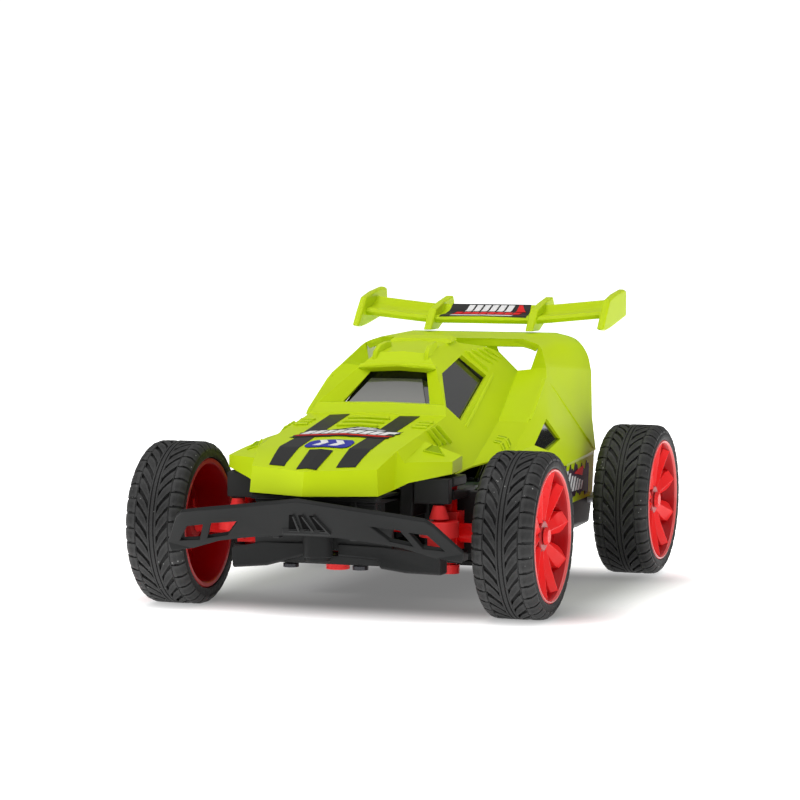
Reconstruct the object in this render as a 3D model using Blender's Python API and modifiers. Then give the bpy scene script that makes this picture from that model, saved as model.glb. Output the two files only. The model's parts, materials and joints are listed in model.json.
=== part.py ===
"""A toy remote control buggy, as an assembly of separate pieces.

+X is the car's left, -Y is forward and +Z is up. Sizes below are millimetres; every builder function
turns them to metres and measures y from the front axle. The last step, `centre_car`, moves every
piece forward together, so that the origin is on the ground under the middle of the whole car.
"""

import math

import bmesh
import bpy
from mathutils import Matrix, Vector

MM = 0.001
CAR_MIDDLE_Y = 61.15

# Wheels and wheelbase
TYRE_RADIUS = 27.5
TYRE_WIDTH = 20.2
RIM_RADIUS = 21.8
WHEEL_GAP = 0.3
WHEELBASE = 145.2
FRONT_TRACK = 120.0
REAR_TRACK = 122.3
AXLE_Z = TYRE_RADIUS
SPOKES = 5
SPOKE_SPREAD = math.radians(17)
SPOKE_START = 3.0
SPOKE_LENGTH = 17.6
SPOKE_WIDTH = 2.4
SPOKE_RISE = 1.1
SPOKE_FOOT = 2.6
SPOKE_TOP = 6.6
HUB_RADIUS = 5.0
HUB_FACE = 7.0
DISH_HUB = 3.4
DISH_EDGE = 4.8
DISH_WALL = 1.6

# Steering
KINGPIN_X = 35.0
STEER_ARM = 12.2
PIN_GAP = 0.35
STUB_RADIUS = 2.0

# Chassis
FLOOR_LOW = 14.0
FLOOR_HIGH = 17.0
BATTERY_FRONT = 40.0
BATTERY_REAR = 100.0
BATTERY_HALF = 33.5
BATTERY_TOP = 34.0
WALL = 2.2
CELL_RADIUS = 7.2
CELL_LENGTH = 50.0
DECK_LOW = 38.6
DECK_HIGH = 41.0

# Body
SKIN = 1.6
GLASS = 1.2
GAP = 0.35

# Gears: module, teeth and face width
MODULE = 0.6
AXLE_TEETH = 40
IDLER_SMALL = 10
IDLER_LARGE = 30
PINION_TEETH = 10
STEER_MODULE = 0.8
STEER_TEETH = 24
STEER_PINION_TEETH = 8

# Colours
LIME = (0.50, 0.72, 0.012)
RED = (0.62, 0.005, 0.008)
BLACK = (0.03, 0.032, 0.034)
TYRE_GREY = (0.028, 0.028, 0.030)
SMOKE = (0.01, 0.01, 0.012)
STEEL = (0.55, 0.56, 0.58)
WHITE_PLASTIC = (0.78, 0.76, 0.70)


def new_collection(name, hidden=False):
    collection = bpy.data.collections.new(name)
    bpy.context.scene.collection.children.link(collection)
    collection.hide_render = hidden
    return collection


def clear_scene():
    for obj in list(bpy.data.objects):
        bpy.data.objects.remove(obj, do_unlink=True)


clear_scene()
PARTS = new_collection("remote_control_buggy")
CUTTERS = new_collection("cutters", hidden=True)


def material(name, color, roughness, metallic=0.0):
    made = bpy.data.materials.new(name)
    made.use_nodes = True
    shader = made.node_tree.nodes["Principled BSDF"]
    shader.inputs["Base Color"].default_value = (*color, 1.0)
    shader.inputs["Roughness"].default_value = roughness
    shader.inputs["Metallic"].default_value = metallic
    made.diffuse_color = (*color, 1.0)
    return made


def finish_mesh(name, bm, look=None, smooth=False):
    """Makes an object of a bmesh in metres. With no look it is a cutter."""
    bmesh.ops.recalc_face_normals(bm, faces=bm.faces)
    mesh = bpy.data.meshes.new(name)
    bm.to_mesh(mesh)
    bm.free()
    obj = bpy.data.objects.new(name, mesh)
    if look is None:
        CUTTERS.objects.link(obj)
        obj.hide_render = True
        obj.display_type = "WIRE"
    else:
        PARTS.objects.link(obj)
        mesh.materials.append(look)
    if smooth:
        mesh.shade_smooth()
        mesh.set_sharp_from_angle(angle=math.radians(35))
    return obj


def box(name, low, high, look=None, bevel=0.0):
    bm = bmesh.new()
    bmesh.ops.create_cube(bm, size=1.0)
    low = Vector(low) * MM
    high = Vector(high) * MM
    bmesh.ops.scale(bm, vec=high - low, verts=bm.verts)
    bmesh.ops.translate(bm, vec=(high + low) / 2, verts=bm.verts)
    obj = finish_mesh(name, bm, look)
    if bevel:
        edge = obj.modifiers.new("edges", "BEVEL")
        edge.width = bevel * MM
        edge.segments = 1
    return obj


def rod(name, start, end, radius, look=None, sides=20, end_radius=None):
    """A cylinder or cone between two points."""
    start = Vector(start) * MM
    end = Vector(end) * MM
    along = end - start
    bm = bmesh.new()
    tip = radius if end_radius is None else end_radius
    bmesh.ops.create_cone(bm, cap_ends=True, segments=sides, radius1=radius * MM,
                          radius2=tip * MM, depth=along.length)
    turn = along.to_track_quat("Z", "Y").to_matrix().to_4x4()
    bmesh.ops.transform(bm, matrix=Matrix.Translation((start + end) / 2) @ turn, verts=bm.verts)
    return finish_mesh(name, bm, look, smooth=True)


def turned(name, profile, look, sides, centre=(0, 0, 0)):
    """A Screw of (radius, along) points around the car's X axis, through the centre."""
    mesh = bpy.data.meshes.new(name)
    points = [(radius * MM, 0.0, along * MM) for radius, along in profile]
    edges = [(i, (i + 1) % len(points)) for i in range(len(points))]
    mesh.from_pydata(points, edges, [])
    mesh.materials.append(look)
    obj = bpy.data.objects.new(name, mesh)
    PARTS.objects.link(obj)
    screw = obj.modifiers.new("turn", "SCREW")
    screw.steps = sides
    screw.render_steps = sides
    screw.use_merge_vertices = True
    screw.merge_threshold = 0.00001
    screw.use_smooth_shade = True
    obj.rotation_euler = (0.0, math.pi / 2, 0.0)
    obj.location = Vector(centre) * MM
    return obj


def prism(name, outline, low, high, axis, look=None):
    """A flat outline, given in the two axes after `axis`, filled and extruded along it."""
    curve = bpy.data.curves.new(name, "CURVE")
    curve.dimensions = "2D"
    curve.fill_mode = "BOTH"
    curve.extrude = (high - low) / 2 * MM
    spline = curve.splines.new("POLY")
    spline.points.add(len(outline) - 1)
    for point, (u, v) in zip(spline.points, outline):
        point.co = (u * MM, v * MM, 0.0, 1.0)
    spline.use_cyclic_u = True
    guide = bpy.data.objects.new(name + "_outline", curve)
    bpy.context.scene.collection.objects.link(guide)
    bpy.context.view_layer.update()
    graph = bpy.context.evaluated_depsgraph_get()
    mesh = bpy.data.meshes.new_from_object(guide.evaluated_get(graph))
    bpy.data.objects.remove(guide)
    bm = bmesh.new()
    bm.from_mesh(mesh)
    bmesh.ops.remove_doubles(bm, verts=bm.verts, dist=1e-5)
    bmesh.ops.dissolve_limit(bm, angle_limit=0.02, verts=bm.verts, edges=bm.edges)
    middle = (low + high) / 2 * MM
    # The outline's own x, y and z become the car's axes that follow `axis`, in order.
    order = {"X": ((0, 0, 1), (1, 0, 0), (0, 1, 0)),
             "Y": ((0, 1, 0), (0, 0, 1), (1, 0, 0)),
             "Z": ((1, 0, 0), (0, 1, 0), (0, 0, 1))}[axis]
    turn = Matrix(order).to_4x4()
    shift = Vector([middle if letter == axis else 0.0 for letter in "XYZ"])
    bmesh.ops.transform(bm, matrix=Matrix.Translation(shift) @ turn, verts=bm.verts)
    return finish_mesh(name, bm, look)


def combine(target, operation, helpers):
    for helper in helpers:
        boolean = target.modifiers.new(helper.name, "BOOLEAN")
        boolean.operation = operation
        boolean.object = helper
        boolean.solver = "EXACT"


def unite(target, *helpers):
    combine(target, "UNION", helpers)


def cut(target, *helpers):
    combine(target, "DIFFERENCE", helpers)


def evaluated_mesh(obj, name):
    bpy.context.view_layer.update()
    graph = bpy.context.evaluated_depsgraph_get()
    mesh = bpy.data.meshes.new_from_object(obj.evaluated_get(graph))
    mesh.transform(obj.matrix_world)
    mesh.name = name
    return mesh


def mirrored(obj, name):
    """The same piece on the other side of the car."""
    mesh = evaluated_mesh(obj, name)
    mesh.transform(Matrix.Scale(-1.0, 4, (1, 0, 0)))
    mesh.flip_normals()
    made = bpy.data.objects.new(name, mesh)
    PARTS.objects.link(made)
    return made


def set_origin(obj, point):
    """Bakes the piece's shape and puts its origin at its joint."""
    mesh = evaluated_mesh(obj, obj.name)
    point = Vector(point) * MM
    mesh.transform(Matrix.Translation(-point))
    obj.modifiers.clear()
    obj.data = mesh
    obj.matrix_world = Matrix.Translation(point)


def gear_outline(teeth, module, centre, phase=0.0):
    """A plain toy gear: four points a tooth, with wide backlash."""
    pitch = teeth * module / 2
    root = pitch - 1.15 * module
    tip = pitch + 0.75 * module
    step = 2 * math.pi / teeth
    points = []
    for tooth in range(teeth):
        middle = phase + tooth * step
        for radius, share in ((root, -0.30), (tip, -0.12), (tip, 0.12), (root, 0.30)):
            angle = middle + share * step
            points.append((centre[0] + radius * math.cos(angle),
                           centre[1] + radius * math.sin(angle)))
    return points


def sheet(name, points, panels, look, thickness, outward):
    """A shell: half of an open skin, mirrored over the car's middle and made solid inwards.
    The first panel faces `outward`."""
    bm = bmesh.new()
    made = {key: bm.verts.new(Vector(place) * MM) for key, place in points.items()}
    faces = [bm.faces.new([made[key] for key in panel.split()]) for panel in panels]
    bmesh.ops.recalc_face_normals(bm, faces=bm.faces)
    bm.normal_update()
    if faces[0].normal.dot(Vector(outward)) < 0:
        bmesh.ops.reverse_faces(bm, faces=bm.faces)
    mesh = bpy.data.meshes.new(name)
    bm.to_mesh(mesh)
    bm.free()
    mesh.materials.append(look)
    obj = bpy.data.objects.new(name, mesh)
    PARTS.objects.link(obj)
    mirror = obj.modifiers.new("mirror", "MIRROR")
    mirror.merge_threshold = 0.0001
    mirror.use_clip = True
    shell = obj.modifiers.new("skin", "SOLIDIFY")
    shell.thickness = thickness * MM
    shell.offset = -1.0
    shell.use_even_offset = False
    return obj


# The body's right half-skin. Each key is a corner of the moulding, from the nose to the rear hoop.
BODY_POINTS = {
    "nose_low": (0, -46, 41.8), "nose_low_out": (21.9, -35.4, 41.7), "nose_low_back": (23.4, -23, 43),
    "nose_top": (0, -44, 49.6), "nose_top_out": (21.3, -34.8, 50.2),
    "bend": (0, -27, 55.9), "bend_out": (24, -22.7, 55.5),
    "hood_mid": (24.2, -4.5, 58.5),
    "hood_back": (0, 27.4, 64.3), "hood_back_out": (24.4, 27.4, 63.6),
    "cowl": (0, 31.5, 67.6), "cowl_out": (22.9, 30.9, 67.2),
    "glass_low": (0, 37.4, 67.6), "glass_low_out": (15.6, 36.6, 67.3),
    "glass_top": (0, 50.8, 77.6), "glass_top_out": (10.2, 49.9, 77.1),
    "brow": (0, 48.8, 79.2), "brow_out": (14.3, 47.9, 78.4),
    "roof_front": (0, 54, 84.2), "roof_front_out": (9.2, 53.4, 83.6),
    "roof_back": (0, 79.6, 88.2), "roof_back_out": (10.4, 79.3, 87.6),
    "fin_top": (11.6, 82, 86.3), "fin_mid": (15.2, 103, 84.3), "fin_back": (17.5, 112, 82.2),
    "fin_low": (23.8, 110.3, 74.8),
    "deck_bar": (13.4, 112, 81.7), "arch_bar_in": (12.5, 110, 87), "arch_bar_out": (16.2, 110, 87),
    "deck_front": (0, 84, 84.6), "deck_mid": (0, 103, 81.6), "deck_back": (0, 112, 80.2),
    "window_front": (15.8, 49.7, 77), "window_top": (14.3, 77, 82.2), "window_back": (20.9, 81.2, 74.7),
    "window_low": (26.9, 36.3, 61.9), "window_sill": (22.8, 32.7, 66.5),
    "ear_front": (25.6, -20.5, 51.6), "ear_tip": (38.9, -10.7, 51.6), "ear_back_out": (38.8, 0.2, 52.9),
    "ear_back": (27.6, -4.5, 57.4), "ear_front_low": (27.7, -21.8, 45.2),
    "ear_tip_low": (38.9, -10.7, 47.6), "ear_out_low": (38.8, 0.2, 48.4), "ear_back_low": (33.6, 5.4, 45.6),
    "side_low": (35.3, 22.6, 47.6),
    "ramp_in": (31.3, 65.9, 60.1), "ramp_foot": (44.2, 42, 51), "ramp_out": (43.7, 61, 60.8),
    "apex": (40.5, 94, 74.2), "ramp_back": (32.5, 108, 74.6),
    "arch_front": (0, 110, 87), "arch_front_out": (27, 110, 87), "arch_shoulder": (33, 110, 84.8),
    "arch_bend": (36, 105.5, 81.2), "arch_side": (38.6, 100, 77.4),
    "arch_back": (0, 151, 88), "arch_back_out": (30, 151, 88), "arch_back_shoulder": (36.8, 151, 86.2),
    "arch_back_bend": (41.6, 151, 81.6), "arch_back_side": (44, 150.6, 75), "arch_back_mid": (45, 149.6, 60),
    "foot_back": (45.5, 148, 45), "foot": (45, 145, 45), "foot_front": (44.8, 108, 42.6),
    "kite_top": (44, 82, 57.7), "kite_back": (44.2, 95.7, 51.7), "kite_low": (44.3, 80.8, 49.7),
    "kite_front": (44.2, 70.5, 52.1),
    "sill_front": (43.4, 40, 45), "sill_mid": (43.6, 108, 41), "sill_back": (43.8, 143, 43.5),
    "skirt_front": (42, 38, 27.5), "skirt_mid": (43, 108, 27), "skirt_back": (43.5, 140.5, 28.2),
}
BODY_PANELS = (
    "nose_low nose_low_out nose_top_out nose_top",
    "nose_top nose_top_out bend_out bend",
    "nose_low_out nose_low_back bend_out nose_top_out",
    "bend bend_out hood_mid hood_back_out hood_back",
    "hood_back hood_back_out cowl_out cowl",
    "cowl cowl_out glass_low_out glass_low",
    "glass_low_out cowl_out brow_out glass_top_out",
    "glass_top glass_top_out brow_out brow",
    "brow brow_out roof_front_out roof_front",
    "roof_front roof_front_out roof_back_out roof_back",
    "roof_front_out brow_out fin_top roof_back_out",
    "roof_back roof_back_out fin_top deck_front",
    "deck_front fin_top fin_mid deck_mid",
    "deck_mid fin_mid fin_back deck_bar deck_back",
    "deck_bar fin_back arch_bar_out arch_bar_in",
    "cowl_out window_sill window_front brow_out",
    "brow_out window_front window_top fin_top",
    "fin_top window_top window_back fin_mid",
    "fin_mid window_back fin_low fin_back",
    "window_back window_low ramp_in fin_low",
    "window_low window_sill cowl_out hood_back_out",
    "window_low hood_back_out side_low ramp_in",
    "nose_low_back ear_front_low ear_front bend_out",
    "ear_front ear_front_low ear_tip_low ear_tip",
    "ear_tip ear_tip_low ear_out_low ear_back_out",
    "ear_front ear_tip ear_back_out ear_back",
    "ear_back ear_back_out ear_out_low ear_back_low",
    "bend_out ear_front ear_back hood_mid",
    "hood_mid ear_back ear_back_low",
    "hood_mid ear_back_low side_low hood_back_out",
    "side_low ramp_foot ramp_out ramp_in",
    "ramp_in ramp_out apex fin_low",
    "fin_low apex arch_side ramp_back",
    "ramp_back arch_side arch_bend arch_shoulder",
    "arch_front arch_bar_in arch_bar_out arch_front_out arch_back_out arch_back",
    "arch_front_out arch_shoulder arch_back_shoulder arch_back_out",
    "arch_shoulder arch_bend arch_back_bend arch_back_shoulder",
    "arch_bend arch_side arch_back_side arch_back_bend",
    "arch_side apex arch_back_mid arch_back_side",
    "apex foot foot_back arch_back_mid",
    "ramp_foot kite_front kite_top ramp_out",
    "ramp_out kite_top apex",
    "apex kite_top kite_back foot",
    "foot kite_back kite_low foot_front",
    "foot_front kite_low kite_front ramp_foot",
    "ramp_foot foot_front sill_mid sill_front",
    "foot_front foot sill_back sill_mid",
    "sill_front sill_mid skirt_mid skirt_front",
    "sill_mid sill_back skirt_back skirt_mid",
)


def make_body(lime, smoke):
    sheet("body_shell", BODY_POINTS, BODY_PANELS, lime, SKIN, (0, -1, 0))
    make_pane("windscreen", "glass_low glass_low_out glass_top_out glass_top", smoke, True)
    left = make_pane("side_window_left", "window_sill window_front window_top window_back window_low", smoke)
    mirrored(left, "side_window_right")
    pod = make_pane("pod_window_left", "kite_front kite_top kite_back kite_low", smoke)
    mirrored(pod, "pod_window_right")


def make_pane(name, corners, look, both_halves=False):
    """A flat dark pane just behind an opening of the skin."""
    outline = [Vector(BODY_POINTS[key]) for key in corners.split()]
    if both_halves:
        outline = [p for p in outline if p.x > 0]
        outline = outline + [Vector((-p.x, p.y, p.z)) for p in reversed(outline)]
    middle = sum(outline, Vector()) / len(outline)
    normal = (outline[0] - middle).cross(outline[1] - middle).normalized()
    outward = Vector((middle.x, 0.0, 10.0)) if not both_halves else Vector((0, -1, 1))
    if normal.dot(outward) < 0:
        normal = -normal
    bm = bmesh.new()
    flat = [p - normal * (p - middle).dot(normal) for p in outline]
    near = [bm.verts.new((p - normal * (SKIN + GAP)) * MM) for p in flat]
    far = [bm.verts.new((p - normal * (SKIN + GAP + GLASS)) * MM) for p in flat]
    bm.faces.new(near)
    bm.faces.new(far)
    for i in range(len(near)):
        j = (i + 1) % len(near)
        bm.faces.new((near[i], near[j], far[j], far[i]))
    return finish_mesh(name, bm, look)


def make_wing(lime):
    points = {
        "mid": (0, 147.3, 92.2), "rib": (21.8, 147, 92.4), "end": (46.6, 148.7, 94.8),
        "mid_back": (0, 161, 96.8), "rib_back": (21.8, 161.2, 97.2), "end_back": (46.6, 163.5, 99.6),
    }
    panels = ("mid rib rib_back mid_back", "rib end end_back rib_back")
    deck = sheet("rear_wing", points, panels, lime, 2.6, (0, 0, 1))
    end_plate = ((139.9, 89.7), (149.4, 100.4), (170.5, 103.9), (174, 101.5), (174, 96), (160, 93.5), (150, 90.5))
    rib = ((142.2, 88.5), (149.2, 96.3), (170, 100.8), (172, 98), (163, 93), (152, 88.5))
    for side in (-1, 1):
        low, high = sorted((46.2 * side, 48.9 * side))
        unite(deck, prism("end_plate", end_plate, low, high, "X"))
        low, high = sorted((18.3 * side, 21.2 * side))
        unite(deck, prism("wing_rib", rib, low, high, "X"))


def make_bumper(black):
    points = {
        "peak": (0, -51.7, 40.3), "top": (12, -51.4, 38.6), "top_out": (42.7, -48.1, 34.8),
        "tip": (50.5, -34.2, 22.2), "low_out": (41, -46, 24.5), "low": (14, -50.6, 28.5),
        "low_mid": (0, -50.5, 27.5),
    }
    panels = ("peak top low low_mid", "top top_out low_out low", "top_out tip low_out")
    bumper = sheet("front_bumper", points, panels, black, 2.4, (0, -1, 0))
    unite(bumper, box("bumper_stem", (-8, -50.2, 27.8), (8, -29, 30.6)),
          rod("bumper_boss", (0, -31, 19.7), (0, -31, 30), 5, sides=16))
    return bumper


def make_chassis(black):
    tub = box("chassis_tub", (-20, 26, FLOOR_LOW), (20, 166, FLOOR_HIGH), black)
    battery = box("battery_box", (-BATTERY_HALF, BATTERY_FRONT, FLOOR_LOW),
                  (BATTERY_HALF, BATTERY_REAR, BATTERY_TOP))
    front_floor = box("front_floor", (-20, -25.4, 18.2), (20, 30, 21))
    riser = box("riser", (-19.5, 26.5, 15), (19.5, 30.5, 20.5))
    rear_wall = box("rear_wall", (-18, 163, 16), (18, 165.4, 42))
    unite(tub, battery, front_floor, riser, rear_wall)
    for side in (-1, 1):
        low, high = sorted((15.8 * side, 18 * side))
        unite(tub, box("gearbox_wall", (low, 99, 15.5), (high, 164, 42)))
        low, high = sorted((18 * side, 39.5 * side))
        unite(tub, box("lower_arm", (low, -5.5, 18), (high, 5.5, 21.2)))
        low, high = sorted((16 * side, 30.5 * side))
        unite(tub, box("under_plate", (low, -21, 18.4), (high, -16.2, 21.4)))
        low, high = sorted((15.5 * side, 19.5 * side))
        for place in (-25.2, 21):
            unite(tub, box("deck_post", (low, place, 20), (high, place + 4, DECK_LOW - 0.3)))
        low, high = sorted((32.5 * side, 41 * side))
        unite(tub, box("side_board", (low, 44, 24), (high, 96, 27)))
    cavity_half = BATTERY_HALF - WALL
    cut(tub, box("battery_cavity", (-cavity_half, BATTERY_FRONT + WALL, 10),
                 (cavity_half, BATTERY_REAR - WALL, BATTERY_TOP - WALL)))
    for side in (-1, 1):
        cut(tub, rod("kingpin_hole", (KINGPIN_X * side, 0, 10), (KINGPIN_X * side, 0, 30), 2.6, sides=20))
        cut(tub, rod("bush_hole", (12 * side, WHEELBASE, AXLE_Z), (22 * side, WHEELBASE, AXLE_Z), 4.1))
        cut(tub, rod("idler_hole", (14 * side, IDLER_Y, AXLE_Z), (20 * side, IDLER_Y, AXLE_Z), 1.6))
        for place in (-23.5, 110.5):
            cut(tub, rod("screw_hole", (12 * side, place, 5), (12 * side, place, 19.6), 1.35, sides=10))
    cut(tub, box("gear_recess", (-15.2, WHEELBASE - 13.5, FLOOR_LOW + 0.7), (-10.6, WHEELBASE + 13.5, 25)))
    cut(tub, box("switch_slot", (-3.6, 32.8, 10), (3.6, 36.2, 20)),
        rod("trim_hole", (0, -11.6, 10), (0, -11.6, 30), 1.9, sides=16),
        rod("door_screw_hole", (0, 103, 5), (0, 103, 16), 1.35, sides=10))
    return tub


def make_deck(black):
    deck = box("front_deck", (-20.5, -34, DECK_LOW), (20.5, 26.5, DECK_HIGH), black)
    wide = box("deck_wings", (-38.4, -7, DECK_LOW + 0.2), (38.4, 16, DECK_HIGH + 0.8))
    unite(deck, wide)
    for side in (-1, 1):
        cut(deck, rod("upper_hole", (KINGPIN_X * side, 0, 30), (KINGPIN_X * side, 0, 50), 2.6, sides=20))
    cut(deck, rod("gear_axle_hole", (0, 0, 30), (0, 0, 50), 2.35, sides=20),
        rod("motor_shaft_hole", (0, STEER_PINION_Y, 30), (0, STEER_PINION_Y, 50), 2.3, sides=20))


def make_wheels(red, rubber):
    half = TYRE_WIDTH / 2
    lip = half - 0.4
    bore = STUB_RADIUS + 0.08
    rim_profile = ((RIM_RADIUS, lip), (RIM_RADIUS, -lip), (RIM_RADIUS - 1.8, -lip),
                   (RIM_RADIUS - 1.8, DISH_EDGE - DISH_WALL), (HUB_RADIUS, DISH_HUB - DISH_WALL), (HUB_RADIUS, -5),
                   (bore, -5), (bore, HUB_FACE), (HUB_RADIUS, HUB_FACE), (HUB_RADIUS, DISH_HUB),
                   (RIM_RADIUS - 1.8, DISH_EDGE), (RIM_RADIUS - 1.3, lip))
    inner = RIM_RADIUS + WHEEL_GAP
    tyre_profile = ((inner, half), (25.6, half), (27.1, half - 1.4), (TYRE_RADIUS, half - 3),
                    (TYRE_RADIUS, 3 - half), (27.1, 1.4 - half), (25.6, -half), (inner, -half))
    places = {
        "front_left": (1, FRONT_TRACK / 2, 0.0), "front_right": (-1, FRONT_TRACK / 2, 0.0),
        "rear_left": (1, REAR_TRACK / 2, WHEELBASE), "rear_right": (-1, REAR_TRACK / 2, WHEELBASE),
    }
    for name, (side, reach, place) in places.items():
        centre = (reach * side, place, AXLE_Z)
        profile = [(radius, along * side) for radius, along in rim_profile]
        if side < 0:
            profile.reverse()
        rim = turned("rim_" + name, profile, red, 40, centre)
        for spoke in range(SPOKES):
            middle = spoke * math.tau / SPOKES
            unite(rim, make_spoke(centre, side, middle + SPOKE_SPREAD), make_spoke(centre, side, middle - SPOKE_SPREAD))
        turned("tyre_" + name, tyre_profile, rubber, 40, centre)
        cap = rod("hub_cap_" + name, ((reach + HUB_FACE + 0.3) * side, place, AXLE_Z),
                  ((reach + HUB_FACE + 1.7) * side, place, AXLE_Z), 3.1, red, sides=20, end_radius=2.4)
        if place == 0.0:
            unite(cap, rod("shank", ((reach - 3) * side, 0, AXLE_Z), ((reach + HUB_FACE + 1) * side, 0, AXLE_Z), 0.8,
                           sides=8))


def make_spoke(centre, side, angle):
    bm = bmesh.new()
    bmesh.ops.create_cube(bm, size=1.0)
    bmesh.ops.scale(bm, vec=Vector((SPOKE_TOP - SPOKE_FOOT, SPOKE_WIDTH, SPOKE_LENGTH)) * MM, verts=bm.verts)
    lift = (SPOKE_TOP + SPOKE_FOOT) / 2
    bmesh.ops.translate(bm, vec=Vector((lift * side, 0, SPOKE_START + SPOKE_LENGTH / 2)) * MM, verts=bm.verts)
    for vert in bm.verts:
        if vert.co.z > (SPOKE_START + SPOKE_LENGTH / 2) * MM:
            vert.co.x += SPOKE_RISE * MM * side
    bmesh.ops.rotate(bm, cent=(0, 0, 0), matrix=Matrix.Rotation(angle, 3, "X"), verts=bm.verts)
    bmesh.ops.translate(bm, vec=Vector(centre) * MM, verts=bm.verts)
    return finish_mesh("spoke", bm)


STEER_PINION_Y = STEER_MODULE * (STEER_TEETH + STEER_PINION_TEETH) / 2
IDLER_Y = WHEELBASE - MODULE * (AXLE_TEETH + IDLER_SMALL) / 2
MOTOR_Y = IDLER_Y - MODULE * (IDLER_LARGE + PINION_TEETH) / 2


def make_steering(red, white, steel):
    wheel_face = FRONT_TRACK / 2
    knuckle = box("knuckle_left", (KINGPIN_X - 3.5, -4, 22), (KINGPIN_X + 3.5, 4, 34.5), red)
    unite(knuckle,
          rod("kingpin", (KINGPIN_X, 0, 15), (KINGPIN_X, 0, 43), 2.2, sides=20),
          rod("lower_cap", (KINGPIN_X, 0, 14), (KINGPIN_X, 0, 17), 3.2, sides=16),
          rod("stub", (KINGPIN_X + 2, 0, AXLE_Z), (wheel_face + 5.4, 0, AXLE_Z), STUB_RADIUS, sides=24),
          rod("stub_collar", (KINGPIN_X + 2, 0, AXLE_Z), (wheel_face - 5.5, 0, AXLE_Z), 3.2, sides=16),
          box("steer_arm", (KINGPIN_X - 3, -STEER_ARM - 3, 24.2), (KINGPIN_X + 3, -2, 26.8)),
          rod("peg", (KINGPIN_X, -STEER_ARM, 25), (KINGPIN_X, -STEER_ARM, 35), 1.7, sides=16),
          rod("peg_head", (KINGPIN_X, -STEER_ARM, 33), (KINGPIN_X, -STEER_ARM, 37.4), 3.3, sides=16,
              end_radius=2.0))
    cut(knuckle, rod("screw_bore", (wheel_face - 4, 0, AXLE_Z), (wheel_face + 9, 0, AXLE_Z), 1.1, sides=12))
    mirrored(knuckle, "knuckle_right")
    set_origin(knuckle, (KINGPIN_X, 0, AXLE_Z))

    rod_low, rod_high = 27.2, 32.3
    tie_rod = box("tie_rod", (-KINGPIN_X, -STEER_ARM - 2, 28.4), (KINGPIN_X, -STEER_ARM + 2, 31.2), red)
    unite(tie_rod, rod("middle_eye", (0, -STEER_ARM, 28.1), (0, -STEER_ARM, 31.4), 5.4, sides=20))
    for side in (-1, 1):
        unite(tie_rod, rod("eye", (KINGPIN_X * side, -STEER_ARM, rod_low),
                           (KINGPIN_X * side, -STEER_ARM, rod_high), 6.5, sides=20))
    for place in (-KINGPIN_X, 0, KINGPIN_X):
        reach = 1.7 + PIN_GAP
        cut(tie_rod, box("slot", (place - reach, -STEER_ARM - reach, 20),
                         (place + reach, -STEER_ARM + reach + 1.0, 40)))

    gear = prism("steering_gear", gear_outline(STEER_TEETH, STEER_MODULE, (0, 0), math.pi / 2),
                 33.4, 36.2, "Z", white)
    unite(gear, box("crank", (-2.6, -STEER_ARM - 2.6, 33.6), (2.6, -4, 36)),
          rod("drive_pin", (0, -STEER_ARM, 27), (0, -STEER_ARM, 35), 1.7, sides=16),
          rod("gear_axle", (0, 0, 21.5), (0, 0, 40.5), 2.0, sides=20))
    pinion_teeth = gear_outline(STEER_PINION_TEETH, STEER_MODULE, (0, STEER_PINION_Y),
                                math.pi / STEER_PINION_TEETH - math.pi / 2)
    pinion = prism("steering_pinion", pinion_teeth, 33.2, 36.4, "Z", white)
    unite(pinion, rod("pinion_shaft", (0, STEER_PINION_Y, 36), (0, STEER_PINION_Y, 44.6), 1.0, sides=12))
    set_origin(pinion, (0, STEER_PINION_Y, 35))
    motor = rod("steering_motor", (0, STEER_PINION_Y, 42.2), (0, STEER_PINION_Y, 56), 7.6, steel, sides=24)
    cut(motor, rod("motor_bearing", (0, STEER_PINION_Y, 40), (0, STEER_PINION_Y, 46), 1.4, sides=12))


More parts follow.
